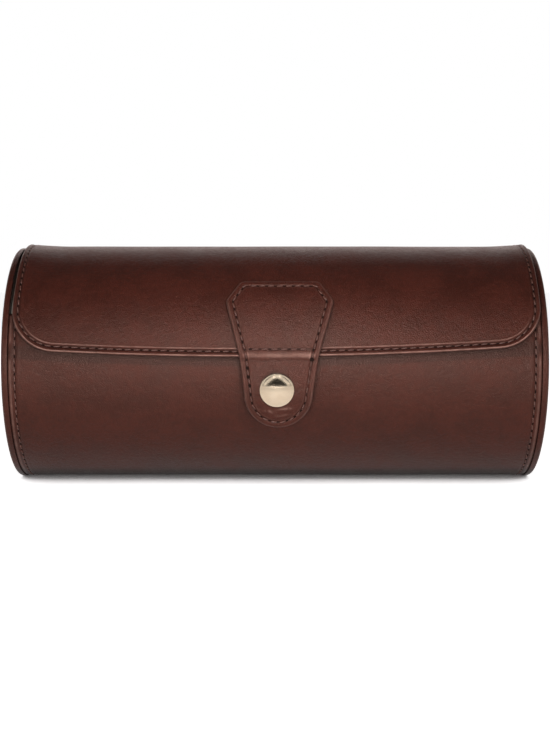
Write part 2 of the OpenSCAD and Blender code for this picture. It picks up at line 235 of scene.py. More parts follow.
def multiply(tree, first, second):
    """Two values multiplied."""
    return add_math(tree, "MULTIPLY", first, second)


def noise(tree, place, scale, detail=2.0, **more):
    """A noise texture's value."""
    node = add_node(tree, "ShaderNodeTexNoise", Vector=place, Scale=scale, Detail=detail, **more)
    return node.outputs["Fac"]


def remap(tree, value, low, high, to_low=0.0, to_high=1.0):
    """A smooth step of value from low to high."""
    settings = {"interpolation_type": "SMOOTHSTEP"}
    ends = {"From_Min": low, "From_Max": high, "To_Min": to_low, "To_Max": to_high}
    return add_node(tree, "ShaderNodeMapRange", settings, Value=value, **ends).outputs["Result"]


def mix_colour(tree, factor, first, second):
    """A colour between two colours."""
    node = add_node(tree, "ShaderNodeMix", {"data_type": "RGBA"}, Factor=factor)
    put(tree, node.inputs[6], first)
    put(tree, node.inputs[7], second)
    return node.outputs[2]


def stretched(tree, place, scale, turn=(0.0, 0.0, 0.0)):
    """Coordinates turned, then stretched, by a Mapping node."""
    node = add_node(tree, "ShaderNodeMapping", Vector=place, Rotation=turn, Scale=scale)
    return node.outputs[0]


def new_group(name, inputs, outputs):
    """An empty node group with named sockets, its input node and its output node."""
    group = bpy.data.node_groups.new(name, "ShaderNodeTree")
    for label, kind, default in inputs:
        socket = group.interface.new_socket(name=label, in_out="INPUT", socket_type=kind)
        if default is not None:
            socket.default_value = default
    for label, kind in outputs:
        group.interface.new_socket(name=label, in_out="OUTPUT", socket_type=kind)
    return group, group.nodes.new("NodeGroupInput").outputs, group.nodes.new("NodeGroupOutput")


def leather_grain_group():
    """Pebbled leather: soft cells parted by fine creases, finer pores, lumps of 1.5 mm and a slow mottle."""
    group, given, made = new_group(
        "leather_grain",
        [
            ("Vector", VECTOR, None),
            ("Cells per mm", FLOAT, 1.4),
            ("Creases", FLOAT, 0.6),
            ("Pores", FLOAT, 0.4),
            ("Lumps", FLOAT, 1.0),
        ],
        [("Height", FLOAT), ("Crease", FLOAT), ("Mottle", FLOAT)],
    )
    to_mm = {"operation": "SCALE"}
    place = add_node(group, "ShaderNodeVectorMath", to_mm, Vector=given["Vector"], Scale=1 / MM).outputs[0]
    wander = add_node(group, "ShaderNodeTexNoise", Vector=place, Scale=0.9, Detail=2.0)
    bent = add_node(group, "ShaderNodeVectorMath", {"operation": "MULTIPLY_ADD"})
    for socket, value in zip(bent.inputs, (wander.outputs["Color"], (0.5, 0.5, 0.5), place)):
        put(group, socket, value)
    edges = {"feature": "DISTANCE_TO_EDGE"}
    cells = add_node(group, "ShaderNodeTexVoronoi", edges, Vector=bent.outputs[0], Scale=given["Cells per mm"])
    dome = remap(group, cells.outputs["Distance"], 0.0, 0.32)
    pores = noise(group, place, 3.4, 3.0, Roughness=0.6)
    lumps = noise(group, place, 0.62)
    mottle = noise(group, place, 0.07, 4.0, Roughness=0.62)
    creased, pitted = multiply(group, dome, given["Creases"]), multiply(group, pores, given["Pores"])
    height = add_math(group, "ADD", creased, pitted)
    height = add_math(group, "ADD", height, multiply(group, lumps, given["Lumps"]))
    speckled = add_math(group, "ADD", multiply(group, mottle, 0.6), multiply(group, lumps, 0.4))
    put_all(group, made, Height=height, Crease=add_math(group, "SUBTRACT", 1.0, dome), Mottle=speckled)
    return group


def rubbed_relief_group():
    """Worn edges and painted light: the mesh's wear_and_light values run from -1, where pressed channels are
    darkened and shade is painted, to 1 and more, where worn edges are lightened and highlights are painted.
    """
    group, given, made = new_group(
        "rubbed_relief",
        [
            ("Colour", COLOUR, (0.1, 0.1, 0.1, 1.0)),
            ("Dark", FLOAT, 0.55),
            ("Light", FLOAT, 0.35),
            ("Vector", VECTOR, None),
        ],
        [("Colour", COLOUR), ("Proud", FLOAT)],
    )
    # Colours of pressed channels and painted shade, and of worn edges and painted highlights.
    groove, worn = (0.010, 0.004, 0.003, 1.0), (0.40, 0.225, 0.18, 1.0)
    wear_and_light = add_node(group, "ShaderNodeAttribute", {"attribute_name": "wear_and_light"}).outputs["Fac"]
    patchy = remap(group, noise(group, given["Vector"], 260.0, 3.0), 0.3, 0.7, 0.5, 1.0)
    pressed = remap(group, multiply(group, wear_and_light, -1.0), 0.05, 1.0)
    proud = multiply(group, remap(group, wear_and_light, 0.1, 2.2, 0.0, 2.0), patchy)
    dark = mix_colour(group, multiply(group, pressed, given["Dark"]), given["Colour"], groove)
    light = mix_colour(group, multiply(group, proud, given["Light"]), dark, worn)
    put_all(group, made, Colour=light, Proud=proud)
    return group


def velvet_pile_group():
    """Velvet: brushed patches of pile painted darker as the shade of pile that lies away, and fine fibre noise
    painted lighter as the sheen on the fibres' ends.
    """
    group, given, made = new_group(
        "velvet_pile",
        [("Vector", VECTOR, None), ("Colour", COLOUR, (0.5, 0.4, 0.3, 1.0)), ("Brush", FLOAT, 0.35)],
        [("Colour", COLOUR), ("Height", FLOAT)],
    )
    # Painted shade for pile that lies away, and painted sheen on the fibres' ends.
    away, tip_sheen = (0.16, 0.10, 0.06, 1.0), (0.80, 0.66, 0.48, 1.0)
    brushed = noise(group, given["Vector"], 75.0, 3.0, Distortion=0.8)
    fibre = noise(group, given["Vector"], 2600.0)
    patch = multiply(group, remap(group, brushed, 0.38, 0.62), given["Brush"])
    shade = mix_colour(group, patch, given["Colour"], away)
    tone = mix_colour(group, remap(group, fibre, 0.35, 0.7, 0.0, 0.28), shade, tip_sheen)
    put_all(group, made, Colour=tone, Height=add_math(group, "ADD", fibre, multiply(group, brushed, 1.5)))
    return group


def micro_scratches_group():
    """Worn metal: fine scratches in two directions and a slow change of polish."""
    group, given, made = new_group(
        "micro_scratches",
        [("Vector", VECTOR, None), ("Polish", FLOAT, 0.15), ("Spread", FLOAT, 0.08)],
        [("Roughness", FLOAT), ("Height", FLOAT)],
    )
    fine = []
    for turn in ((0.4, 0.2, 0.9), (-0.7, 0.5, -0.3)):
        fine.append(noise(group, stretched(group, given["Vector"], (260.0, 9000.0, 700.0), turn), 1.0))
    lines = remap(group, add_math(group, "MAXIMUM", *fine), 0.62, 0.76)
    haze = noise(group, given["Vector"], 420.0, 3.0)
    spread = multiply(group, add_math(group, "ADD", haze, lines), given["Spread"])
    put_all(group, made, Roughness=add_math(group, "ADD", given["Polish"], spread), Height=lines)
    return group


def place_group(tree, make, **inputs):
    """A node group placed in a material with its own values. It is built once."""
    group = bpy.data.node_groups.get(make.__name__.removesuffix("_group")) or make()
    return add_node(tree, "ShaderNodeGroup", {"node_tree": group}, **inputs).outputs


def new_material(name, **constants):
    """A material with a Principled shader, its tree, its shader and its Object coordinates."""
    material = bpy.data.materials.new(name)
    material.use_nodes = True
    tree = material.node_tree
    shader = tree.nodes["Principled BSDF"]
    put_all(tree, shader, **constants)
    place = tree.nodes.new("ShaderNodeTexCoord").outputs["Object"]
    return material, tree, shader, place


def surface(tree, shader, colour, roughness, height, strength, distance):
    """Gives a shader its colour, its roughness and a bump, whose distance is in metres."""
    bump = add_node(tree, "ShaderNodeBump", Height=height, Strength=strength, Distance=distance)
    normal = bump.outputs["Normal"]
    put_all(tree, shader, Base_Color=colour, Roughness=roughness, Normal=normal)


def kept(make):
    """A material that is built once and takes its maker's name."""
    return bpy.data.materials.get(make.__name__) or make(make.__name__)


def tint(colour, times=1.0):
    """A colour times one number or three, with full alpha."""
    return (*(np.array(colour) * times), 1.0)


def glazed_leather(name):
    """Smooth dark leather: fine grain, dark grooves, worn edges, a soft gloss, painted highlights and painted
    shade from the mesh's values, and painted shade from ambient occlusion in crevices and under overhangs.
    """
    gloss = {"Specular_IOR_Level": 0.36, "Specular_Tint": (1.0, 0.62, 0.52, 1.0)}
    crease_tone, crevice_shade = (0.020, 0.008, 0.006, 1.0), (0.008, 0.003, 0.002, 1.0)
    material, tree, shader, place = new_material(name, **gloss)
    amounts = {"Cells_per_mm": 1.5, "Creases": 0.5, "Pores": 0.4, "Lumps": 1.5}
    grain = place_group(tree, leather_grain_group, Vector=place, **amounts)
    leather = colours().leather
    mottle = remap(tree, grain["Mottle"], 0.38, 0.62)
    body = mix_colour(tree, mottle, tint(leather, 0.92), tint(leather, (1.4, 1.35, 1.35)))
    # The grain's creases are darker.
    creased = mix_colour(tree, multiply(tree, grain["Crease"], 0.30), body, crease_tone)
    worn_and_lit = place_group(tree, rubbed_relief_group, Colour=creased, Dark=0.62, Light=0.42, Vector=place)
    # Painted shade: ambient occlusion within 6 mm darkens the colour towards near black in crevices, under the
    # flap's edge and round the tab and the cap.
    near = add_node(tree, "ShaderNodeAmbientOcclusion", {"samples": 6}, Distance=0.006)
    crevice_shade_share = remap(tree, near.outputs["AO"], 0.40, 0.90, 0.95, 0.0)
    crevice_shaded = mix_colour(tree, crevice_shade_share, worn_and_lit["Colour"], crevice_shade)
    rough = remap(tree, grain["Mottle"], 0.3, 0.7, 0.33, 0.42)
    rough = add_math(tree, "ADD", rough, multiply(tree, grain["Crease"], 0.10))
    rough = add_math(tree, "SUBTRACT", rough, multiply(tree, worn_and_lit["Proud"], 0.08))
    surface(tree, shader, crevice_shaded, rough, grain["Height"], 1.0, 0.00011)
    return material


def burnished_edge(name):
    """The back of the tab: plainer, duller leather."""
    material, tree, shader, place = new_material(name)
    grain = place_group(tree, leather_grain_group, Vector=place, Cells_per_mm=2.2, Creases=0.3, Pores=0.8)
    leather = colours().leather
    body = mix_colour(tree, grain["Mottle"], tint(leather, 0.7), tint(leather))
    worn_and_lit = place_group(tree, rubbed_relief_group, Colour=body, Dark=0.4, Light=0.15, Vector=place)
    rough = remap(tree, grain["Mottle"], 0.3, 0.7, 0.55, 0.68)
    surface(tree, shader, worn_and_lit["Colour"], rough, grain["Height"], 0.5, 0.00008)
    return material


def waxed_thread(name):
    """Twisted waxy thread: slanting plies by a wave, lighter on their crowns and darker between them, with a
    dull gloss.
    """
    material, tree, shader, place = new_material(name, Specular_IOR_Level=0.5)
    slanting = {"wave_type": "BANDS", "bands_direction": "DIAGONAL"}
    bands = add_node(tree, "ShaderNodeTexWave", slanting, Vector=place, Scale=900.0, Distortion=0.6)
    plies = bands.outputs["Fac"]
    thread = colours().thread
    tone = mix_colour(tree, plies, tint(thread, 0.6), tint(thread, (1.7, 1.6, 1.6)))
    surface(tree, shader, tone, remap(tree, plies, 0.0, 1.0, 0.55, 0.36), plies, 0.5, 0.00008)
    return material


def needle_hole(name):
    """Near black painted as the shade in the pricked hole between two stitches."""
    material, tree, shader, place = new_material(name, Specular_IOR_Level=0.08)
    grain = noise(tree, place, 3000.0)
    tone = mix_colour(tree, grain, (0.006, 0.003, 0.002, 1.0), (0.016, 0.007, 0.005, 1.0))
    put_all(tree, shader, Base_Color=tone, Roughness=remap(tree, grain, 0.3, 0.7, 0.75, 0.95))
    return material


def velvet(name, colour, sheen):
    """Short velvet: brushed pile, fibre bump and a sheen at grazing angles."""
    material, tree, shader, place = new_material(name, Sheen_Weight=sheen, Sheen_Roughness=0.45)
    pile = place_group(tree, velvet_pile_group, Vector=place, Colour=tint(colour), Brush=0.30)
    rough = remap(tree, pile["Height"], 0.5, 1.8, 0.80, 0.95)
    surface(tree, shader, pile["Colour"], rough, pile["Height"], 0.5, 0.00012)
    return material


def lining_velvet(name):
    """Velvet glued in the trough and on the flap."""
    return velvet(name, colours().lining, 0.35)


def cushion_velvet(name):
    """Velvet of the cushions."""
    return velvet(name, colours().cushion, 0.45)


def greyboard(name):
    """Pressed grey board: long pale fibres and dark flecks."""
    material, tree, shader, place = new_material(name)
    fibres = noise(tree, stretched(tree, place, (300.0, 1400.0, 1400.0)), 1.0, 5.0)
    flecks = add_node(tree, "ShaderNodeTexVoronoi", Vector=place, Scale=520.0).outputs["Distance"]
    board = colours().board
    body = mix_colour(tree, remap(tree, fibres, 0.35, 0.65), tint(board, 0.75), tint(board, 1.25))
    spotted = mix_colour(tree, remap(tree, flecks, 0.16, 0.10, 0.0, 0.5), body, (0.10, 0.08, 0.06, 1.0))
    surface(tree, shader, spotted, remap(tree, fibres, 0.3, 0.7, 0.78, 0.92), fibres, 0.4, 0.0001)
    return material


def metal(name, colour, polish, spread):
    """Metal with fine scratches and a tarnish that gathers slowly over it and dulls it a little."""
    material, tree, shader, place = new_material(name)
    worn = place_group(tree, micro_scratches_group, Vector=place, Polish=polish, Spread=spread)
    tarnish = noise(tree, place, 300.0, 3.0)
    dulled = remap(tree, tarnish, 0.4, 0.75, 0.0, 0.35)
    tone = mix_colour(tree, dulled, tint(colour), tint(colour, (0.86, 0.80, 0.72)))
    put_all(tree, shader, Metallic=remap(tree, tarnish, 0.0, 1.0, 1.0, 0.98))
    surface(tree, shader, tone, worn["Roughness"], worn["Height"], 0.12, 0.00002)
    return material


def polished_cap(name):
    """Pale gold of the snap's cap."""
    return metal(name, colours().cap, 0.15, 0.06)


def brushed_nickel(name):
    """Nickel of the stud, the socket, the ring and the rivet."""
    return metal(name, colours().snap, 0.24, 0.12)


# ---- Meshes ----


def smoothstep(t):
    """3 t^2 - 2 t^3 of t held between 0 and 1."""
    t = np.clip(t, 0.0, 1.0)
    return t * t * (3 - 2 * t)


def bell(t, width):
    """A bell curve: e to the minus (t / width) squared."""
    return np.exp(-((t / width) ** 2))


def rounding(t):
    """How far a quarter round falls away: 1 - sqrt(1 - t^2) of t held between 0 and 1."""
    return 1 - np.sqrt(np.clip(1 - t**2, 0, 1))


def on_circle(x, r, a, shift=0.0):
    """The point at x along the roll, radius r and angle a: y = -shift - r cos a and z = axis + r sin a."""
    x, r, a = np.broadcast_arrays(np.asarray(x, float), np.asarray(r, float), np.asarray(a, float))
    return np.stack([x, -shift - r * np.cos(a), AXIS_Z + r * np.sin(a)], -1)


def grid_of(x, y):
    """A grid of (x, y) points from two arrays that broadcast to one shape."""
    return np.stack(np.broadcast_arrays(x, y), -1)


def arc(angles, radius=1.0, centre=(0.0, 0.0)):
    """Points of a flat circle at some angles."""
    return np.array(centre) + radius * np.stack([np.cos(angles), np.sin(angles)], -1)


def rest_on_floor(points, floor=0.0):
    """Points below the floor are lifted to it."""
    points = points.copy()
    points[..., 2] = np.maximum(points[..., 2], floor)
    return points


def quads(rows, columns, closed_rows=False, closed_columns=False):
    """Faces between neighbouring rows and columns of a grid."""
    i = np.arange(rows if closed_rows else rows - 1)[:, None]
    j = np.arange(columns if closed_columns else columns - 1)[None, :]
    row, next_row = i * columns, (i + 1) % rows * columns
    next_j = (j + 1) % columns
    corners_of = np.broadcast_arrays(row + j, next_row + j, next_row + next_j, row + next_j)
    return np.stack(corners_of, -1).reshape(-1, 4)


def join(*parts):
    """Joins (points, faces, wear-and-light values, material numbers) parts into one. The last two may be left
    out.
    """
    start, points, faces, wear_and_light, numbers = 0, [], [], [], []
    for part in parts:
        grid, corners_of, proud, number = (*part, None, None)[:4]
        flat = grid.reshape(-1, 3)
        points.append(flat)
        faces.append(corners_of + start)
        wear_and_light.append(np.broadcast_to(0.0 if proud is None else proud, grid.shape[:-1]).reshape(-1))
        numbers.append(np.broadcast_to(0 if number is None else number, len(corners_of)))
        start += len(flat)
    return tuple(np.concatenate(each) for each in (points, faces, wear_and_light, numbers))


def outward(part):
    """A closed part with its faces turned outwards: the volume under its faces comes out positive."""
    points, faces = part[0].reshape(-1, 3), part[1]
    a, b, c, d = (points[faces[:, k]] for k in range(4))
    first = np.einsum("ij,ij->i", a, np.cross(b, c)).sum()
    second = np.einsum("ij,ij->i", a, np.cross(c, d)).sum()
    return (part[0], faces if first + second > 0 else faces[:, ::-1], *part[2:])


def slab(outer, inner, wear_and_light=None):
    """A closed sheet: two grids of the same size, and walls that join their four borders."""
    rows, columns = outer.shape[:2]
    count = rows * columns
    face = quads(rows, columns)
    index = np.arange(count).reshape(rows, columns)
    rim = np.concatenate([index[0, :-1], index[:-1, -1], index[-1, :0:-1], index[:0:-1, 0]])
    ahead = np.roll(rim, -1)
    wall = np.stack([rim, ahead, ahead + count, rim + count], -1)
    both = np.concatenate([outer.reshape(-1, 3), inner.reshape(-1, 3)])
    colouring = None if wear_and_light is None else np.concatenate([wear_and_light.reshape(-1), np.zeros(count)])
    return outward((both, np.concatenate([face[:, ::-1], face + count, wall]), colouring))


def loft(sections, wear_and_light=None):
    """A closed profile carried along a path: sections[i, j] is point j of the profile at station i.

    Its ends are closed by joining each point with the one across from it.
    """
    stations, around = sections.shape[:2]
    body = quads(stations, around, closed_columns=True)
    half = np.arange(around // 2 - 1)
    cap = np.stack([half, half + 1, around - 2 - half, around - 1 - half], -1)
    far = cap[:, ::-1] + (stations - 1) * around
    return outward((sections, np.concatenate([body, cap, far]), wear_and_light))


def lathe(profile, steps, centre, axis, wear_and_light=None):
    """A profile of (radius, height) points turned once round an axis. The first and last radius may be 0."""
    axis = np.asarray(axis, float) / np.linalg.norm(axis)
    along_x = abs(axis[0]) > 0.99
    side = np.cross(axis, (0.0, 1.0, 0.0) if along_x else (1.0, 0.0, 0.0))
    side /= np.linalg.norm(side)
    across = np.cross(axis, side)
    turn = np.linspace(0, 2 * math.pi, steps, endpoint=False)[:, None, None]
    profile = np.asarray(profile, float)
    spokes = np.cos(turn) * side + np.sin(turn) * across
    points = np.asarray(centre) + spokes * profile[None, :, :1] + axis * profile[None, :, 1:]
    colouring = None if wear_and_light is None else np.broadcast_to(wear_and_light, (steps, len(profile)))
    return outward((points, quads(steps, len(profile), closed_rows=True), colouring))


def new_mesh(name, points, faces, scale=MM):
    """A mesh from points, in millimetres unless another scale is given, and lists of corners."""
    mesh = bpy.data.meshes.new(name)
    mesh.from_pydata((points * scale).tolist(), [], faces)
    return mesh


def add_relief(mesh, wear_and_light):
    """Stores each point's value for worn edges and painted light: lighter above 0, darker below 0."""
    mesh.attributes.new("wear_and_light", "FLOAT", "POINT").data.foreach_set("value", wear_and_light.astype(np.float32))


def weld(worked, dist):
    """Merges the doubles of a bmesh and drops the faces that this leaves flat."""
    bmesh.ops.remove_doubles(worked, verts=worked.verts, dist=dist)
    bmesh.ops.dissolve_degenerate(worked, edges=worked.edges, dist=dist / 20)


def face_outwards(worked):
    """Turns every face of a closed bmesh the same way, outwards."""
    bmesh.ops.recalc_face_normals(worked, faces=worked.faces)
    if worked.calc_volume(signed=True) < 0:
        bmesh.ops.reverse_faces(worked, faces=worked.faces)


def add_object(name, mesh):
    """An object of the scene for a mesh, a lamp or a camera."""
    thing = bpy.data.objects.new(name, mesh)
    bpy.context.scene.collection.objects.link(thing)
    return thing


def add_piece(name, parts, materials, body=None, sharp=0.7):
    """A mesh object from parts in millimetres: welded, smooth up to the sharp angle, and riding on a body."""
    points, faces, wear_and_light, numbers = join(*parts)
    mesh = new_mesh(name, points, faces.tolist())
    add_relief(mesh, wear_and_light)
    for make in materials:
        mesh.materials.append(kept(make))
    mesh.polygons.foreach_set("material_index", numbers.astype(np.int32))
    worked = bmesh.new()
    worked.from_mesh(mesh)
    weld(worked, 2e-6)
    worked.to_mesh(mesh)
    worked.free()
    mesh.shade_smooth()
    mesh.set_sharp_from_angle(angle=sharp)
    piece = add_object(name, mesh)
    if body:
        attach(piece, body)
    return piece


# ---- Sewing ----


def lengths_along(path):
    """The length along a polyline at each of its points."""
    return np.concatenate([[0], np.cumsum(np.linalg.norm(np.diff(path, axis=0), axis=1))])


def at_lengths(path, length, at):
    """Points of a polyline at some lengths along it."""
    return np.stack([np.interp(at, length, path[:, k]) for k in range(path.shape[1])], -1)


def evenly(path, pitch, offset=0.5, closed=False):
    """Places along a polyline, a pitch apart: positions by linear interpolation of the length along it."""
    if closed:
        path = np.concatenate([path, path[:1]])
    length = lengths_along(path)
    count = max(1, int(round(length[-1] / pitch)))
    at = (np.arange(count) + offset) * length[-1] / count
    before, after = at_lengths(path, length, at - 0.2), at_lengths(path, length, at + 0.2)
    return at_lengths(path, length, at), after - before


def stitch_parts(places, along, outwards, hole=0.42, slant=0.10):
    """Stitches at places: a thread that arches over the leather, and a dark slit between it and the last,
    painted as the shade in the pricked hole.

    The arch is h = 0.62 t (1 - u^4) - 0.35 t for a thread of thickness t. Each thread is six rings of six
    points. Each slit is a flat dome of two rings of six points.
    """
    thread, length, pitch = sizes().thread, sizes().stitch_length, sizes().stitch_pitch
    along = along / np.linalg.norm(along, axis=1, keepdims=True)
    outwards = outwards - along * np.einsum("ij,ij->i", outwards, along)[:, None]
    outwards = outwards / np.linalg.norm(outwards, axis=1, keepdims=True)
    aside = np.cross(outwards, along)
    along = along * math.cos(slant) + aside * math.sin(slant)
    axes = [way[:, None, None] for way in (along, np.cross(outwards, along), outwards)]
    u = np.array([-1.0, -0.82, -0.35, 0.35, 0.82, 1.0])
    width = thread / 2 * np.array([0.25, 0.8, 1.05, 1.05, 0.8, 0.25])
    height = thread * (0.62 * (1 - u**4) - 0.35)
    turn = np.arange(6) * math.pi / 3
    sine, cosine, flat = np.sin(turn), np.cos(turn), np.ones(6)

    def placed(*steps):
        """A grid of steps along, aside and outwards, at every place."""
        return places[:, None, None] + sum(step[None, :, :, None] * axis for step, axis in zip(steps, axes))

    arch = np.outer(height, flat) + np.outer(width, sine)
    threads = placed(np.outer(u * length / 2, flat), np.outer(width, cosine), arch)
    thread_ends = np.array([[0, 1, 2, 3], [0, 3, 4, 5], [33, 32, 31, 30], [35, 34, 33, 30]])
    thread_faces = np.concatenate([quads(6, 6, closed_columns=True), thread_ends])[:, ::-1]
    reach, half_hole, level = np.array([0.85, 0.65]), np.array([hole, 0.8 * hole]), np.array([-0.25, 0.05])
    # The slits are dark sheets painted as the shade in the needle holes.
    slits = placed(-pitch / 2 + np.outer(reach, cosine), np.outer(half_hole, sine), np.outer(level, flat))
    slit_ends = np.array([[6, 7, 8, 9], [6, 9, 10, 11], [3, 2, 1, 0], [5, 4, 3, 0]])
    slit_faces = np.concatenate([quads(2, 6, closed_columns=True), slit_ends])
    parts = []
    for number, (points, faces) in enumerate(((threads, thread_faces), (slits, slit_faces))):
        one = outward((points[0], faces))[1]
        size = points.shape[1] * points.shape[2]
        every = (one[None] + (np.arange(len(places)) * size)[:, None, None]).reshape(-1, 4)
        parts.append((points.reshape(-1, 3), every, None, number))
    return parts


# ---- Wall of the case ----

WRAP_HEM = 8.0
LIP_ROUND = 1.5
SIDES = ((-1, "left"), (1, "right"))


def wrap_skin(x):
    """How far the wrap's skin stands off its radius at x: a pressed stitch channel and a turned-down end.

    At a depth d in from the end, height = -0.26 bell(d - stitch inset) + 0.08 bell(d - 4) less 0.15 of a
    quarter round within 0.4 mm of the end and 0.3 of one within 2.2 mm of it.
    """
    d = WALL_HALF - np.abs(x)
    edge = np.clip(1 - d / 0.4, 0.0, 1.0)
    roll = np.clip(1 - d / 2.2, 0.0, 0.98)
    channel = bell(d - sizes().wrap_stitch, 0.55)
    height = -0.26 * channel + 0.08 * bell(d - 4.0, 0.7) - 0.15 * rounding(edge) - 0.3 * rounding(roll)
    return height, 0.9 * bell(d - 1.0, 0.6) - 0.5 * channel - 0.25 * smoothstep((edge - 0.5) * 2)


def ripple(x, s, size=1.0):
    """Slow unevenness of hand-worked leather: three crossed sine waves, in millimetres."""
    along = 0.035 * np.sin(x / 17.0 + 0.8 * np.sin(s / 23.0))
    around = 0.03 * np.sin(s / 9.0 + x / 31.0)
    return size * (along + around + 0.02 * np.sin(x / 6.1 - s / 14.0))


def wrap_stations():
    """Places along the roll, close together where the ends are worked."""
    edge = np.concatenate([np.linspace(0, 1.2, 8), np.linspace(1.45, 5.2, 16), np.linspace(6.2, 12, 5)])
    middle = np.linspace(-(WALL_HALF - 15), WALL_HALF - 15, 58)
    return np.concatenate([-(WALL_HALF - edge), middle, (WALL_HALF - edge)[::-1]])


def wrap_section(front):
    """The wrap's section as rows of angle, outer radius, inner radius and share of the skin's worked height.

    It runs from the hem inside the back lip, over that lip, round the skin and over the front lip to its hem.
    """
    lining_r = BOARD_IN - sizes().velvet
    middle = (WRAP_R + lining_r) / 2
    hem = [(a, lining_r, lining_r + 0.7, 0.0) for a in np.linspace(WRAP_HEM / lining_r, 0.035, 8)]
    lip = []
    for t in np.linspace(0, math.pi / 2, 7):
        lip.append((LIP_ROUND / middle * (1 - math.sin(t)), LIP_ROUND * (1 - math.cos(t)), 0.6 * math.cos(t)))
    rows = [(MOUTH_BACK + a, *rest) for a, *rest in hem]
    rows += [(MOUTH_BACK + a, lining_r + drop, middle, 0.0) for a, drop, _ in lip]
    rows += [(MOUTH_BACK, r, middle, 0.0) for r in np.linspace(lining_r + 2 * LIP_ROUND, WRAP_R - 0.6, 3)]
    skin = np.linspace(MOUTH_BACK, front - 0.04, 230)
    rows += [(a, WRAP_R, WRAP_R - sizes().leather, 1.0) for a in skin]
    rows += [(front - a, WRAP_R - drop, middle, share) for a, drop, share in lip]
    rows += [(front - a, lining_r + drop, middle, 0.0) for a, drop, _ in lip[::-1]]
    rows += [(front - a, *rest) for a, *rest in hem[::-1]]
    return np.array(rows).T[:, None, :]


def under_flap_edge(x, angle):
    """A painted shadow under the flap's edge on the wrap's front: 1 along the edge, 0 from 5 mm below it."""
    s = sizes()
    edge_h = FLAP_LOW + s.flap_bow * (x / FLAP_HALF) ** 2 + s.flap_skew / 2 * x / FLAP_HALF
    over = WRAP_R * np.sin(angle) - edge_h
    return smoothstep((over + 5.0) / 2.7) * smoothstep((3.0 - over) / 4.0) * (np.cos(angle) > 0)


class WATCHCASE_OT_wrap(bpy.types.Operator):
    """Adds the leather wrap with its turned-in lips and the stitches along both ends"""

    bl_idname = "watchcase.wrap"
    bl_label = "Leather wrap"

    def execute(self, context):
        s = sizes()
        front = s.mouth_front + 2 * math.pi
        angle, out_r, in_r, share = wrap_section(front)
        x = wrap_stations()[:, None]
        height, wear_and_light = wrap_skin(x)
        # Painted shadow: the wrap is darkened in a band just below the flap's edge.
        wear_and_light = (wear_and_light - 1.5 * under_flap_edge(x, angle)) * share
        skin_r = out_r + share * (height + ripple(x, angle * WRAP_R, 0.8))
        outer = rest_on_floor(on_circle(x, skin_r, angle))
        inner = rest_on_floor(on_circle(x, np.minimum(in_r, skin_r - 0.3 * (share > 0)), angle), 0.25)
        wrap = add_piece("wrap_skin", [slab(outer, inner, wear_and_light)], [glazed_leather], "case")
        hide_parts("outer_wrap")
        parts = []
        sewn = np.linspace(MOUTH_BACK + 0.10, front - 0.08, 400)
        for side, _ in SIDES:
            at = side * (WALL_HALF - s.wrap_stitch)
            path = rest_on_floor(on_circle(at, WRAP_R - 0.24, sewn))
            places, along = evenly(path, s.stitch_pitch)
            clear = places[:, 2] > 0.6
            out = places - np.array([at, 0.0, AXIS_Z])
            parts += stitch_parts(places[clear], along[clear], out[clear])
        add_piece("wrap_stitches", parts, [waxed_thread, needle_hole], "case", sharp=1.2)
        return {"FINISHED"}


class WATCHCASE_OT_end_covers(bpy.types.Operator):
    """Adds the two leather-covered end discs with their round rims"""

    bl_idname = "watchcase.end_covers"
    bl_label = "End covers"

    def execute(self, context):
        """Profile: a crowned face h = 0.35 (1 - (r / R)^2), a quarter round, a side that tucks in."""
        round_r, crown = 1.15, 0.35
        inner = COVER_R - round_r
        thick = CASE_HALF - WALL_HALF
        r = np.concatenate([[0], np.linspace(4, inner, 26)])
        pressed = bell(r - (inner - 2.6), 0.7)
        face = np.stack([r, thick + (crown * (1 - (r / inner) ** 2) - 0.10 * pressed)], -1)
        turn = np.linspace(0, math.pi / 2, 9)[1:]
        rim = arc(math.pi / 2 - turn, round_r, (inner, thick - round_r))
        # The seam, and the leather that is turned in under the disc, lightened a little at the lip and
        # darkened below it as painted shade in the seam's gap
        tail = [(0.0, 0.6), (0.02, 0.2), (0.08, 0.04), (0.3, -0.02), (3.0, -0.02), (COVER_R, -0.02)]
        profile = np.concatenate([face, rim, np.array([(COVER_R - inset, h) for inset, h in tail])])
        tail_seam_shade = [0.2, 0.1, -0.2, -0.4, -1.0, -1.0]
        wear_and_light = np.concatenate([-0.25 * pressed, 0.55 * np.sin(2 * turn), tail_seam_shade])
        for side, name in SIDES:
            points, *rest = lathe(profile, 192, (side * WALL_HALF, 0, AXIS_Z), (side, 0, 0), wear_and_light)
            part = (rest_on_floor(points), *rest)
            cover = add_piece(f"end_disc_{name}", [part], [glazed_leather], "case")
            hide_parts(f"end_cover_{name}")
        return {"FINISHED"}


# ---- Flap ----

LINING_DROP = 3.0


def flap_curve_length(h):
    """Length along the flap's curve up to a height h over the axis: R asin(h / R)."""
    return FLAP_R * np.arcsin(np.clip(h / FLAP_R, -1, 1))


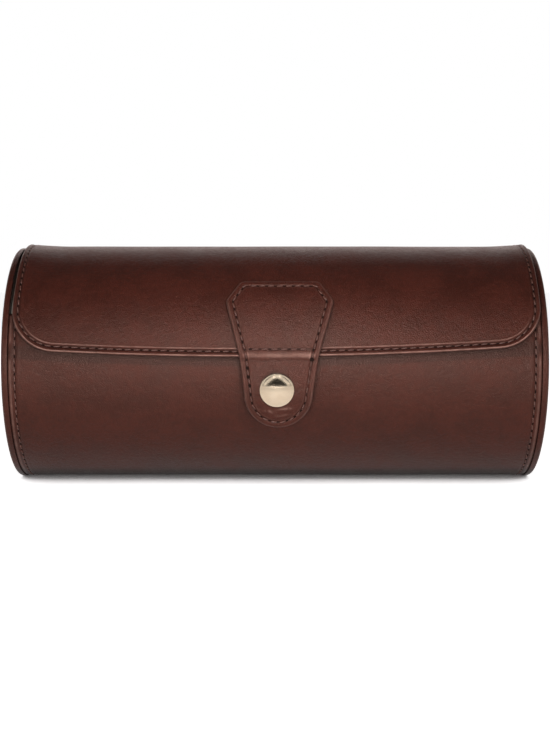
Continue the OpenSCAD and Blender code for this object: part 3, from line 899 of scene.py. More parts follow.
class FlapOutline:
    """The flap's outline, drawn in by an inset, in flat (x, length) coordinates.

    It runs down the left side, round the corner, along the bow, round the corner and up the right side. The
    bow is an arc through the two corners, so an offset of it stays an arc.
    """

    def __init__(self, inset, top):
        """Base points and inward normals, and the rows and places of the panel inside the hem."""
        s = sizes()
        half, corner = FLAP_HALF - inset, s.flap_corner - inset
        low = flap_curve_length(FLAP_LOW) - s.hem_full
        rise = flap_curve_length(FLAP_LOW + s.flap_bow) - low - s.hem_full
        big = (FLAP_HALF**2 + rise**2) / (2 * rise)
        centre_y = low + big
        bow = big - inset
        cx = half - corner
        cy = centre_y - math.sqrt((bow - corner) ** 2 - cx**2)
        contact = math.atan2(cy - centre_y, cx)
        self.rows = np.linspace(0, 1, 46)
        side_b = grid_of(half, cy + (top - cy) * self.rows)
        side_n = np.tile([-1.0, 0.0], (len(self.rows), 1))
        phi = np.linspace(contact, 0, 15)[1:-1]
        corner_b, corner_n = arc(phi, corner, (cx, cy)), -arc(phi)
        theta = np.linspace(-math.pi - contact, contact, 81)
        bow_b, bow_n = arc(theta, bow, (0, centre_y)), -arc(theta)
        flip = np.array([-1.0, 1.0])
        self.base = np.concatenate([(side_b * flip)[::-1], (corner_b * flip)[::-1], bow_b, corner_b, side_b])
        self.inward = np.concatenate([(side_n * flip)[::-1], (corner_n * flip)[::-1], bow_n, corner_n, side_n])
        self.corner, self.top = corner, top
        start = len(side_b) + len(corner_b)
        self.bottom = (self.base + self.inward * corner)[start : start + len(bow_b)]

    def inset(self, depths):
        """The outline drawn in by each depth: a grid of stations and depths."""
        return self.base[:, None] + self.inward[:, None] * depths[None, :, None]

    def panel(self):
        """The grid inside the hem, from above the bow up to the top."""
        x, low = self.bottom[None, :, 0], self.bottom[None, :, 1]
        return grid_of(x, low + (self.top - low) * self.rows[:, None])


def flap_point(flat, lift):
    """Flat (x, length) coordinates and a lift over the flap's radius, rolled on to the flap's curve.

    The ends stand up a little over the top, and the flap sits a little askew and to one side.
    """
    s = sizes()
    x, length = flat[..., 0], flat[..., 1]
    over_top = smoothstep((length - 34) / 26) * (1 - smoothstep((length - 88) / 14))
    lift = lift + s.flap_lift * smoothstep((np.abs(x) - 84) / 15) * over_top
    low_share = 1 - smoothstep((length - 8) / 60)
    length = length + s.flap_skew / 2 * x / FLAP_HALF * low_share
    x = x * (1 - s.flap_narrow / FLAP_HALF) + s.flap_aside
    return on_circle(x, FLAP_R + lift, length / FLAP_R, SHIFT)


def flap_face_lift(d, flat):
    """Lift of the flap's face at a depth d in from its edge, and its values for wear and painted light.

    A full hem, a pressed stitch channel, a ridge behind it and slow ripples.
    """
    s = sizes()
    low = 1 - smoothstep((flat[..., 1] - 12) / 12)
    behind = d - s.flap_stitch
    lift = 0.28 * bell(d - 0.8, 0.6) - 0.32 * bell(behind, 0.5) + 0.12 * bell(behind - 1.05, 0.5)
    lift = lift - 0.05 * smoothstep((d - 4.5) / 3) + ripple(flat[..., 0], flat[..., 1]) * smoothstep(d / 4)
    # Painted highlights: a light line along the edge and a light ridge behind the stitches, far stronger along
    # the bottom hem. The stitch channel is darker, partly pressed and partly painted shade.
    wear_and_light = (0.4 + 3.0 * low) * bell(d - 0.2, 0.5) - 0.85 * bell(behind + 0.1, 0.7)
    return lift, wear_and_light + (0.1 + 1.1 * low) * bell(behind - 1.1, 0.33) + 0 * lift


def flap_under_lift(d, flat):
    """Lift of the flap's under side: the turned hem is full, and sunk where the lining covers it."""
    return -sizes().flap_thick + 0.35 * smoothstep((d - 4.2) / 0.8) + 0 * flat[..., 0]


def flap_depths(corner):
    """Depths in from the edge, close together at the worked hem."""
    return np.concatenate([np.linspace(0.6, 4.4, 26), np.linspace(5.2, corner, 6)])


def flap_rim(top, under, steps=9):
    """Depth and lift round the flap's edge: a half circle between the two faces."""
    turn = np.linspace(math.pi / 2, -math.pi / 2, steps)[1:-1]
    middle, reach = (top + under) / 2, (top - under) / 2
    return 0.6 * (1 - np.cos(turn)), middle[..., None] + reach[..., None] * np.sin(turn)


def turned_outwards(part):
    """A welded shell with every face turned the same way, outwards. A triangle repeats its last corner."""
    points, faces, wear_and_light, _ = part
    mesh = new_mesh("shell_to_turn", points, faces.tolist(), 1)
    add_relief(mesh, wear_and_light)
    worked = bmesh.new()
    worked.from_mesh(mesh)
    weld(worked, 2e-3)
    face_outwards(worked)
    layer = worked.verts.layers.float["wear_and_light"]
    points = np.array([v.co[:] for v in worked.verts])
    wear_and_light = np.array([v[layer] for v in worked.verts])
    rings = [[v.index for v in face.verts] for face in worked.faces]
    worked.free()
    bpy.data.meshes.remove(mesh)
    return points, np.array([ring + ring[-1:] * (4 - len(ring)) for ring in rings]), wear_and_light


def ruled(*edges):
    """A strip of faces between two rows of points."""
    both = np.stack(edges)
    return both, quads(*both.shape[:2])


class WATCHCASE_OT_flap(bpy.types.Operator):
    """Adds the flap's leather with its stitched hem, the folding strip at the hinge and the velvet under it"""

    bl_idname = "watchcase.flap"
    bl_label = "Flap"

    def execute(self, context):
        hinge_length = FLAP_BACK * FLAP_R
        top = hinge_length - sizes().hinge_width
        self.leather(FlapOutline(0.0, top))
        self.fold(top, hinge_length)
        self.lining(top)
        self.sewing(top)
        return {"FINISHED"}

    def leather(self, outline):
        """The hem (the face out to the edge, the rim, and the under side back in), then the two panels."""
        depths = flap_depths(outline.corner)[::-1]
        flat = outline.inset(depths)
        lift, wear_and_light = flap_face_lift(depths[None], flat)
        under = flap_under_lift(depths[None], flat)
        rim_d, rim_lift = flap_rim(lift[:, -1], under[:, -1])
        rim = flap_point(outline.inset(rim_d), rim_lift)
        points = np.concatenate([flap_point(flat, lift), rim, flap_point(flat[:, ::-1], under[:, ::-1])], 1)
        # Painted light round the flap's edge: lighter on the face side, and darker on the under side as
        # painted shade.
        rim_wear_and_light = np.broadcast_to(np.linspace(0.9, -0.5, len(rim_d)), rim_lift.shape)
        stations, across = points.shape[:2]
        hem = (points, quads(stations, across), np.concatenate([wear_and_light, rim_wear_and_light, 0 * wear_and_light], 1))

        flat = outline.panel()
        deep = np.full(flat.shape[:2], outline.corner)
        lift, wear_and_light = flap_face_lift(deep, flat)
        grid = quads(*flat.shape[:2])
        face = (flap_point(flat, lift), grid[:, ::-1], wear_and_light)
        under = (flap_point(flat, flap_under_lift(deep, flat)), grid)
        # Walls at the hinge: the two ends of the hem and the edge of the panels
        pair = np.arange(across // 2)
        wall = np.stack([pair, pair + 1, across - 2 - pair, across - 1 - pair], -1)
        walls = [(points[0], wall), (points[-1], wall[:, ::-1]), ruled(face[0][-1], under[0][-1])]
        shell = turned_outwards(join(hem, face, under, *walls))
        flap = add_piece("flap_skin", [shell], [glazed_leather], "flap")
        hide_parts("flap_leather")

    def fold(self, top, hinge_length):
        """The strip that folds: it runs on from the flap's edge with the same section, down to the hinge."""
        s = sizes()
        along = np.linspace(top, hinge_length, 22)
        worked = FLAP_HALF - flap_depths(s.flap_corner)
        plain_half = FLAP_HALF - s.flap_corner
        flat_x = np.concatenate([-worked, np.linspace(-plain_half, plain_half, 81)[1:-1], worked[::-1]])
        d = FLAP_HALF - np.abs(flat_x)
        flat = grid_of(flat_x[None, :], along[:, None])
        lift, wear_and_light = flap_face_lift(np.minimum(d, s.flap_corner)[None, :], flat)
        fade = smoothstep((hinge_length - along) / s.hinge_width)[:, None]
        under = flap_under_lift(d[None, :], flat) * fade + (-1.1) * (1 - fade)
        rims = []
        for side, end in ((1, -1), (-1, 0)):
            rim_d, rim_lift = flap_rim(lift[:, end], under[:, end])
            rims.append(flap_point(grid_of(side * (FLAP_HALF - rim_d)[None, :], along[:, None]), rim_lift))
        rows = [flap_point(flat, lift), rims[0], flap_point(flat, under)[:, ::-1], rims[1][:, ::-1]]
        rim_wear_and_light = np.full(rims[0].shape[:2], 0.4)
        # The seam of the section goes to the middle of one rim, so the ends close across the strip
        shift = rims[0].shape[1] // 2
        section = np.roll(np.concatenate(rows, 1), shift, 1)
        colouring = np.roll(np.concatenate([wear_and_light, rim_wear_and_light, 0 * lift, rim_wear_and_light], 1), shift, 1)
        fold = add_piece("hinge_strip", [loft(section, colouring)], [glazed_leather])
        start = np.array([0, HINGE[1], HINGE[2]])
        end = on_circle(0, FLAP_R, top / FLAP_R, SHIFT)
        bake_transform(fold, "case", "flap", start=tuple(start * MM), end=tuple(end * MM))
        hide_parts("hinge_fold")

    def lining(self, top):
        """The velvet panel: a slab inside the hem whose free face rolls over at its border."""
        s = sizes()
        outline = FlapOutline(s.flap_hem - 0.3, top - LINING_DROP)
        depths = np.concatenate([[0.0, 0.06, 0.18, 0.35, 0.6], np.linspace(1.2, outline.corner, 7)])
        level = -s.flap_thick - 0.12 * smoothstep(depths / 3)
        level = level + 0.35 * rounding(1 - np.minimum(depths, 0.35) / 0.35)
        hidden = -s.flap_thick + 0.45
        flat = outline.inset(depths)
        outer = flap_point(flat, level[None, :] + 0 * flat[..., 0])
        back = flap_point(flat, np.full(flat.shape[:2], hidden))
        panel = outline.panel()
        rows = outline.rows[:, None]
        wave = 0.05 * np.sin(panel[..., 0] / 11) * np.sin(panel[..., 1] / 13)
        fade = smoothstep(rows / 0.08) * smoothstep((1 - rows) / 0.05)
        fade = fade * smoothstep((FLAP_HALF - 20 - np.abs(panel[..., 0])) / 8)
        face = flap_point(panel, level[-1] + wave * fade)
        inside = flap_point(panel, np.full(panel.shape[:2], hidden))
        border, mid = quads(*flat.shape[:2]), quads(*panel.shape[:2])
        edge = np.stack([outer[:, 0], back[:, 0]], 1)
        walls = [ruled(outer[0], back[0]), ruled(outer[-1], back[-1]), ruled(face[-1], inside[-1])]
        sheets = [(outer, border), (back, border), (face, mid), (inside, mid), (edge, quads(*edge.shape[:2]))]
        shell = turned_outwards(join(*sheets, *walls))
        velvet_panel = add_piece("flap_velvet", [shell], [lining_velvet], "flap")
        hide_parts("flap_lining")

    def sewing(self, top):
        """Stitches round the flap's edge, on its face and on its under side."""
        s = sizes()
        outline = FlapOutline(0.0, top)
        flat = outline.base + outline.inward * s.flap_stitch
        parts = []
        for lift, way in ((-0.26, 1), (-s.flap_thick + 0.02, -1)):
            places, along = evenly(flap_point(flat, np.full(len(flat), lift)), s.stitch_pitch)
            out = (places - np.array([0, -SHIFT, AXIS_Z])) * (0, 1, 1) * way
            parts += stitch_parts(places, along, out)
        add_piece("flap_stitches", parts, [waxed_thread, needle_hole], "flap", sharp=1.2)


# ---- Tab ----

TAB_R = FLAP_R + 1.8
TAB_END_R = 12.9
TAB_ROW = 8.2
TAB_BEND = 6.0


def tab_outline():
    """The tab's outline in flat (x, length) coordinates: 360 evenly spaced points, from its tip round to it.

    In the front view it is a round end, two straight sides that widen and a six-sided top. Each corner is
    softened by averaging, and heights turn into lengths by R asin(h / R).
    """
    end_h = TAB_TIP_H + TAB_END_R
    neck, shoulder = (14.9, FLAP_LOW), (TAB_WIDE + 0.35, TAB_TOP_H - 7.2)
    corner = np.array([(TAB_END_R, end_h), neck, shoulder, (14.95, TAB_TOP_H), (0, TAB_TOP_H)])
    half = [arc(np.linspace(-math.pi / 2, 0, 40), TAB_END_R, (0, end_h))]
    for a, b in zip(corner[:-1], corner[1:]):
        steps = max(3, int(np.linalg.norm(b - a) / 0.25))
        half.append(a + (b - a) * np.linspace(0, 1, steps)[1:, None])
    half = np.concatenate(half)
    half[:, 1] = TAB_R * np.arcsin(np.clip(half[:, 1] / TAB_R, -1, 1))
    closed = np.concatenate([half, (half * (-1, 1))[::-1][1:-1], half[:1]])
    length = lengths_along(closed)
    count, reach = 720, 12
    even = at_lengths(closed, length, np.arange(count) * length[-1] / count)
    kernel = bell(np.arange(-reach, reach + 1), 6.0)
    kernel /= kernel.sum()
    wrapped = np.concatenate([even[-reach:], even, even[:reach]])
    soft = np.stack([np.convolve(wrapped[:, k], kernel, "valid") for k in range(2)], -1)
    soft = (soft + np.roll(soft[::-1], 1, 0) * (-1, 1)) / 2
    return soft[::2]


def depth_in(points, outline):
    """Distance of points from a closed outline, segment by segment."""
    a, b = outline, np.roll(outline, -1, 0)
    ab = b - a
    t = np.clip(np.einsum("pij,ij->pi", points[:, None] - a, ab) / np.einsum("ij,ij->i", ab, ab), 0, 1)
    return np.linalg.norm(points[:, None] - a - t[..., None] * ab, axis=2).min(1)


def inset_rings(outline, depths, core):
    """Rings at equal depths inside an outline.

    Each point moves along the line to its core point until its depth is right, found by halving.
    """
    rings = []
    for depth in depths:
        low, high = np.zeros(len(outline)), np.ones(len(outline))
        for _ in range(22):
            t = (low + high) / 2
            deeper = depth_in(outline + (core - outline) * t[:, None], outline) > depth
            high, low = np.where(deeper, t, high), np.where(deeper, low, t)
        rings.append(outline + (core - outline) * ((low + high) / 2)[:, None])
    return np.array(rings)


def tab_face(flat, depth):
    """Radius of the tab's face about the flap's centre, and its values for wear and painted light.

    It lies on the flap, runs straight from the flap's edge to the snap, and swells between its stitches.
    """
    s = sizes()
    x, length = flat[..., 0], flat[..., 1]
    # Length along the tab and radius there, for a flap of radius 47.22
    keys = [(-26, 49.42), (-13.0, 49.42), (-8.8, 49.40), (-5.0, 49.16), (-2.0, 48.86), (1, 48.60)]
    keys += [(3.2, 48.46), (4.2, 48.50), (5.4, 48.78), (6.4, 49.10), (7.3, 49.24), (9.5, 49.06), (60, 49.02)]
    at, radius = np.array(keys).T
    radius = radius + (FLAP_R - 47.22)
    soft = sum(np.interp(length + k * 0.35, at, radius) for k in range(-2, 3)) / 5
    behind = depth - s.tab_stitch
    channel = bell(behind, 0.5)
    swell = 0.16 * smoothstep((behind - 0.4) / 3.0)
    rise = -0.26 * channel + swell * (1 - 0.7 * bell(length + 7.2, 8.0)) + 0.06 * bell(depth - 1.3, 0.7)
    row = bell(length - TAB_ROW, 0.5) * smoothstep((depth - 1.8) / 0.8)
    crease = bell(length - 4.0 - 0.25 * np.sin(x / 3.1), 0.4)
    # Three slanting folds below the snap
    pucker = 0.24 * bell(length + 14.6 - 0.10 * x, 0.55) * bell(x - 2.6, 3.4)
    pucker = pucker + 0.20 * bell(length + 15.9 + 0.16 * x, 0.5) * bell(x + 3.2, 3.0)
    pucker = pucker + 0.16 * bell(length + 17.2 - 0.14 * x, 0.55) * bell(x - 1.5, 3.6)
    rise = rise - 0.28 * row - 0.12 * crease + pucker
    rise = rise + ripple(x * 1.3 + 40, length, 0.6) * smoothstep(depth / 5)
    # Painted highlights: light lines along the tab's edge and inside its stitches. The stitch channel, the
    # stitch row and the crease are darker, partly pressed and partly painted shade.
    wear_and_light = 1.4 * bell(depth - 0.35, 0.4) + 0.55 * bell(behind - 0.85, 0.35)
    wear_and_light = wear_and_light - 0.65 * channel - 1.1 * row - 0.7 * crease
    # Painted light where the tab bends over the flap's edge: a light band above the crease and painted shade
    # below it. The folds below the snap get painted highlights.
    bent = 1.15 * bell(length - 5.9, 1.1) - 0.35 * bell(length - 0.8, 2.4)
    return soft + rise, wear_and_light + bent * smoothstep(depth - 0.8) + 5.0 * pucker


def tab_point(flat, radius):
    """Flat tab coordinates rolled on to a circle about the flap's centre.

    The tab is sewn on a little aslant: x grows by 0.014 of the length.
    """
    x, length = flat[..., 0], flat[..., 1]
    return on_circle(x + TAB_X - 0.15 + 0.014 * length, radius, length / TAB_R, SHIFT)


def tab_blend(piece):
    """The tab bends over 6 mm across the flap's lower edge, about the tab's own axis."""
    a, reach = math.asin((TAB_AXIS[2] - AXIS_Z) / TAB_R), TAB_BEND / 2 / TAB_R
    start = on_circle(TAB_X, TAB_R, a + reach, SHIFT)
    end = on_circle(TAB_X, TAB_R, a - reach, SHIFT)
    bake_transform(piece, "flap", "tab", start=tuple(start * MM), end=tuple(end * MM))


class WATCHCASE_OT_tab(bpy.types.Operator):
    """Adds the closing tab: one strap of leather, sewn on the flap and free below its edge"""

    bl_idname = "watchcase.tab"
    bl_label = "Closing tab"

    def execute(self, context):
        outline = tab_outline()
        spine_low = TAB_R * math.asin((TAB_TIP_H + TAB_END_R) / TAB_R)
        spine_high = outline[:, 1].max() - 13.0
        core = grid_of(0.0, np.clip(outline[:, 1], spine_low, spine_high))
        self.strap(outline, core)
        self.sewing(outline, core)
        return {"FINISHED"}

    def strap(self, outline, core):
        """Rings of equal depth: the face from its spine to the edge, a half-round edge, and the back in."""
        near = [0.7, 0.9, 1.15, 1.45, 1.75, 1.95, 2.15, 2.35, 2.5, 2.65, 2.85]
        depths = np.array(near + [3.1, 3.4, 3.8, 4.4, 5.2, 6.2, 7.2])
        rings = inset_rings(outline, depths, core)
        inward = core - rings[-1]
        fill = np.array([rings[-1] + inward * t for t in np.linspace(0, 1, 15)[1:]])
        deep = np.array([depth_in(ring, outline) for ring in fill])
        flat = np.concatenate([rings, fill])[::-1]
        depth = np.concatenate([np.broadcast_to(depths[:, None], rings.shape[:2]), deep])[::-1]
        face_r, wear_and_light = tab_face(flat, depth)
        back_r = face_r - sizes().tab_thick - 0.10 * bell(depth - 1.6, 0.7)
        on_flap = flat[..., 1] > 5.0
        back_r = np.where(on_flap, np.maximum(back_r, FLAP_R - 0.02), back_r)
        turn = np.linspace(math.pi / 2, -math.pi / 2, 11)[1:-1]
        edge = inset_rings(outline, np.maximum(0.7 * (1 - np.cos(turn)), 1e-4), core)
        middle, reach = (face_r[-1] + back_r[-1]) / 2, (face_r[-1] - back_r[-1]) / 2
        edge_r = middle + reach * np.sin(turn)[:, None]
        # Painted highlight round the tab's half-round edge, lightest towards its face.
        edge_highlight = np.broadcast_to((0.7 * np.cos(turn - 0.6))[:, None], edge_r.shape)
        back = tab_point(flat[::-1], back_r[::-1])
        points = np.concatenate([tab_point(flat, face_r), tab_point(edge, edge_r), back])
        colouring = np.concatenate([wear_and_light, edge_highlight, 0 * wear_and_light])
        count, around = points.shape[:2]
        faces = quads(count, around, closed_columns=True)
        is_back = (faces[:, 0] // around >= len(flat) + len(edge) - 1).astype(int)
        part = outward((points, faces, colouring, is_back))
        strap = add_piece("tab_skin", [part], [glazed_leather, burnished_edge])
        tab_blend(strap)
        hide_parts("tab_strap", "tab_end", "tab_backing")

    def sewing(self, outline, core):
        """Stitches round the tab, on its free back too, and a row across it at the flap's edge."""
        s = sizes()
        ring = inset_rings(outline, [s.tab_stitch], core)[0]
        right = ring[: len(ring) // 2]
        right = right[right[:, 1].argsort()]
        half_row = np.interp(TAB_ROW, right[:, 1], right[:, 0]) - 2.2
        row = grid_of(np.linspace(-half_row, half_row, 40), TAB_ROW)
        parts = []
        for line, closed in ((ring, True), (row, False)):
            places, _ = evenly(line, s.stitch_pitch, closed=closed)
            ahead, _ = evenly(line, s.stitch_pitch, 0.56, closed=closed)
            parts += self.stitched(places, ahead, outline, False)
            free = places[:, 1] < 2.0
            if free.any():
                parts += self.stitched(places[free], ahead[free], outline, True)
        stitches = add_piece("tab_stitches", parts, [waxed_thread, needle_hole], sharp=1.2)
        tab_blend(stitches)

    def stitched(self, places, ahead, outline, on_back):
        """Stitches from places towards the places ahead, on the tab's face or on its back."""
        r = tab_face(places, depth_in(places, outline))[0]
        r = r - sizes().tab_thick + 0.25 if on_back else r + 0.02
        start, to = tab_point(places, r), tab_point(ahead, r)
        out = (start - np.array([0, -SHIFT, AXIS_Z])) * (0, 1, 1) * (-1 if on_back else 1)
        return stitch_parts(start, to - start, out, hole=0.95)


# ---- Snap ----


def snap_axis():
    """A point on the roll's axis and the direction of the snap, pointing out of the roll."""
    y = float(np.mean([c[1] for c in corners("snap_spring")]))
    direction = np.array([0.0, y, SNAP_H])
    return np.array([SNAP_X, 0.0, AXIS_Z]), direction / np.linalg.norm(direction)


def dome_radius():
    """Radius of the sphere that the cap's dome is cut from: (w^2 + h^2) / 2h of half width and height."""
    half, dome = sizes().cap_width / 2, sizes().cap_dome
    return (half**2 + dome**2) / (2 * dome)


def dress(node, make):
    """Gives a CAD node a material, and leaves its mesh alone."""
    mesh = frame["nodes"][node].data
    material = kept(make)
    if len(mesh.materials) == 0:
        mesh.materials.append(material)
    for slot in frame["nodes"][node].material_slots:
        slot.material = material


class WATCHCASE_OT_snap(bpy.types.Operator):
    """Adds the snap's domed cap and its stud, and dresses its socket, spring ring and rivet"""

    bl_idname = "watchcase.snap"
    bl_label = "Snap"

    def execute(self, context):
        """Stud profile: a base, a neck and a round head, as radii and heights over the wrap."""
        centre, axis = snap_axis()
        low = self.cap(centre, axis)
        foot = [(0, -0.6), (4.75, -0.6), (4.75, 0.2), (4.6, 0.4), (4.3, 0.5), (2.3, 0.5)]
        neck = [(1.8, 0.55), (1.55, 0.75), (1.5, 1.3), (1.62, 1.52), (1.95, 1.72)]
        head = [(2.1, 1.9), (2.0, 2.1), (1.6, 2.24), (0.9, 2.28), (0, 2.28)]
        stud = lathe([(r, WRAP_R + h) for r, h in foot + neck + head], 96, centre, axis)
        post = add_piece("snap_stud_turned", [stud], [brushed_nickel], "case", sharp=0.9)
        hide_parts("snap_stud")
        for node in ("snap_socket", "snap_spring", "snap_rivet"):
            dress(node, brushed_nickel)
        # Flare of the cap's post inside the socket
        spring = float(np.linalg.norm([np.mean([c[1] for c in corners("snap_spring")]), SNAP_H]))
        flare = [(0, 1.16), (1.9, 1.16), (2.0, 1.28), (1.9, 1.4), (1.3, 1.4)]
        flare = [(r, spring + h) for r, h in flare] + [(1.3, low - 0.4), (0, low - 0.4)]
        part = lathe(flare, 48, centre, axis)
        add_piece("snap_post", [part], [brushed_nickel], "tab", sharp=0.6)
        return {"FINISHED"}

    def cap(self, centre, axis):
        """Adds the cap and gives the level of its rolled edge: a sphere cap, the edge and an under side."""
        radius, dome_r, roll = sizes().cap_width / 2, dome_radius(), 0.55
        inner = radius - roll
        r = np.linspace(0, inner, 30)
        profile = list(zip(r, self.cap_top() - dome_r + np.sqrt(dome_r**2 - r * r)))
        shoulder = profile[-1][1]
        tilt = math.asin(inner / dome_r)
        for t in np.linspace(tilt, math.pi * 0.95, 14)[1:]:
            out = inner + roll * (math.sin(t) - math.sin(tilt)) / (1 - math.sin(tilt))
            if t >= math.pi / 2:
                out = radius - roll * (1 - math.sin(t)) * 0.8
            profile.append((out, shoulder - roll * (math.cos(tilt) - math.cos(t))))
        low = profile[-1][1]
        profile += [(radius - 1.0, low - 0.02), (radius - 1.0, low - 0.5), (2.4, low - 0.5), (0, low - 0.5)]
        part = lathe(profile, 128, centre, axis)
        cap = add_piece("snap_dome", [part], [polished_cap], "tab", sharp=0.9)
        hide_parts("snap_cap")
        return low

    def cap_top(self):
        """Distance of the dome's top from the roll's axis.

        The cap's lowest y belongs to the point of the dome that looks straight ahead.
        """
        front = -corners("snap_cap")[0][1]
        return (front - dome_radius()) / -snap_axis()[1][1] + dome_radius()


# ---- Linings ----


def mouth_ways():
    """Unit directions of the trough: towards the front lip, and up out of the mouth."""
    middle = (sizes().mouth_front + MOUTH_BACK) / 2
    front = np.array([0.0, -math.sin(middle), -math.cos(middle)])
    return front, np.array([0.0, -math.cos(middle), math.sin(middle)])


class WATCHCASE_OT_linings(bpy.types.Operator):
    """Adds the velvet of the trough, the ends and the dividers, and dresses the boards"""

    bl_idname = "watchcase.linings"
    bl_label = "Velvet linings"

    def execute(self, context):
        lining_r = BOARD_IN - sizes().velvet
        self.trough(lining_r)
        for side, name in SIDES:
            self.end(side, name)
            self.divider(name, lining_r)
        for node in frame["nodes"]:
            if "board" in node or "plug" in node:
                dress(node, greyboard)
        return {"FINISHED"}

    def trough(self, lining_r):
        """A sheet inside the board, from hem to hem, whose face swells and rolls over at its border."""
        hem = WRAP_HEM / lining_r
        angle = np.linspace(MOUTH_BACK + hem, sizes().mouth_front + 2 * math.pi - hem, 150)[None, :]
        x = np.linspace(-WALL_HALF + 0.05, WALL_HALF - 0.05, 90)[:, None]
        from_lip = np.minimum(angle - angle[0, 0], angle[0, -1] - angle) * lining_r
        puff = 0.06 * np.sin(x / 8.3 + 2 * np.sin(angle * 3)) * np.sin(angle * 7)
        edge = 0.35 * rounding(1 - np.minimum(from_lip, 0.5) / 0.5)
        inner = on_circle(x, lining_r + edge + (puff + 0.06) * smoothstep(from_lip / 4) * 0.6, angle)
        outer = on_circle(x, BOARD_IN - 0.02, angle + 0 * x)
        trough = add_piece("trough_velvet", [slab(outer, inner)], [lining_velvet], "case")
        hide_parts("shell_lining")

    def end(self, side, name):
        """A disc on the inner face of an end plug, with a border of 0.6 mm radius."""
        thick, round_r = abs(PLUG_FACE - LINING_FACE), 0.6
        inner = PLUG_R - round_r
        r = np.concatenate([[0], np.linspace(3, inner, 22)])
        turn = np.linspace(0, math.pi / 2, 5)[1:]
        face = grid_of(r, thick + 0.05 * np.sin(r / 3.1) * 0.6)
        border = arc(math.pi / 2 - turn, round_r, (inner, thick - round_r))
        profile = np.concatenate([face, border, [(PLUG_R, 0.0), (0, 0.0)]])
        part = lathe(profile, 128, (side * PLUG_FACE, 0, AXIS_Z), (-side, 0, 0))
        disc = add_piece(f"end_velvet_{name}", [part], [lining_velvet], "case")
        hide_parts(f"end_lining_{name}")

    def divider(self, name, lining_r):
        """A disc cut off straight at the top.

        It is rings of its outline, drawn in by r (1 - sin t) as the thickness goes round by r cos t, and on
        each face four smaller rings that end in its middle.
        """
        low, high = corners(f"divider_cover_{name}")
        half, x = (high[0] - low[0]) / 2, (low[0] + high[0]) / 2
        front, up = mouth_ways()
        radius, corner = lining_r - 0.2, 6.0
        top = lining_r * math.cos((MOUTH_BACK - sizes().mouth_front) / 2) - 1.7
        cy = top - corner
        cx = math.sqrt((radius - corner) ** 2 - cy**2)
        angle = math.atan2(cy, cx)
        right = arc(np.linspace(angle, math.pi / 2, 10)[1:], corner, (cx, cy))
        left = (right * (-1, 1))[::-1][:-1]
        straight = np.linspace(1, -1, 24)[1:-1, None] * [cx, 0] + [0, top]
        round_side = arc(np.linspace(-math.pi - angle, angle, 140), radius)
        outline = np.concatenate([round_side, right, straight, left])
        ahead, behind = np.roll(outline, -1, 0), np.roll(outline, 1, 0)
        normal = np.stack([(behind - ahead)[:, 1], (ahead - behind)[:, 0]], -1)
        normal /= np.linalg.norm(normal, axis=1, keepdims=True)
        turn = np.linspace(0, math.pi, 13)
        border = [(outline + normal * half * (1 - math.sin(t)), half * math.cos(t)) for t in turn]
        rings = list(border)
        for (ring, _), shrink in zip(border[::-1], (0.86, 0.6, 0.3, 0.0)):
            level = half + 0.04 * (1 - shrink)
            rings = [(ring * shrink, level), *rings, (ring * shrink, -level)]
        points = np.array([(x + h, 0, AXIS_Z) + ring[:, :1] * front + ring[:, 1:] * up for ring, h in rings])
        part = outward((points, quads(len(points), points.shape[1], closed_columns=True)))
        piece = add_piece(f"divider_velvet_{name}", [part], [lining_velvet], "case")
        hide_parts(f"divider_cover_{name}")


# ---- Cushions ----

PAD_WIDTH, PAD_HEIGHT = 58.0, 54.0
SEAM_AT, CORD_R = 23.5, 0.55


def in_bay(place, local):
    """Points of a cushion: its own coordinates run from its centre to the front, up and along the roll."""
    low, high = corners(f"cushion_cover_{place}")
    front, up = mouth_ways()
    return (low + high) / 2 + local[..., :1] * front + local[..., 1:2] * up + local[..., 2:] * (1.0, 0.0, 0.0)


def signed_power(value, power):
    """The power of a number's size, with its sign kept."""
    return np.sign(value) * np.abs(value) ** power


def cushion_start(length, width, height):
    """A closed pillow before it swells: an oval section with powers 0.85, drawn in towards both ends."""
    around = np.linspace(0, 2 * math.pi, 48, endpoint=False)[None, :]
    along = np.linspace(-math.pi / 2, math.pi / 2, 30)[:, None]
    size = np.maximum(np.cos(along), 0.0) ** 0.34
    a = width / 2 * signed_power(np.cos(around), 0.85) * size
    b = height / 2 * signed_power(np.sin(around), 0.85) * size
    c = length / 2 * signed_power(np.sin(along), 0.6) + 0 * around
    return np.stack([a, b, c], -1)


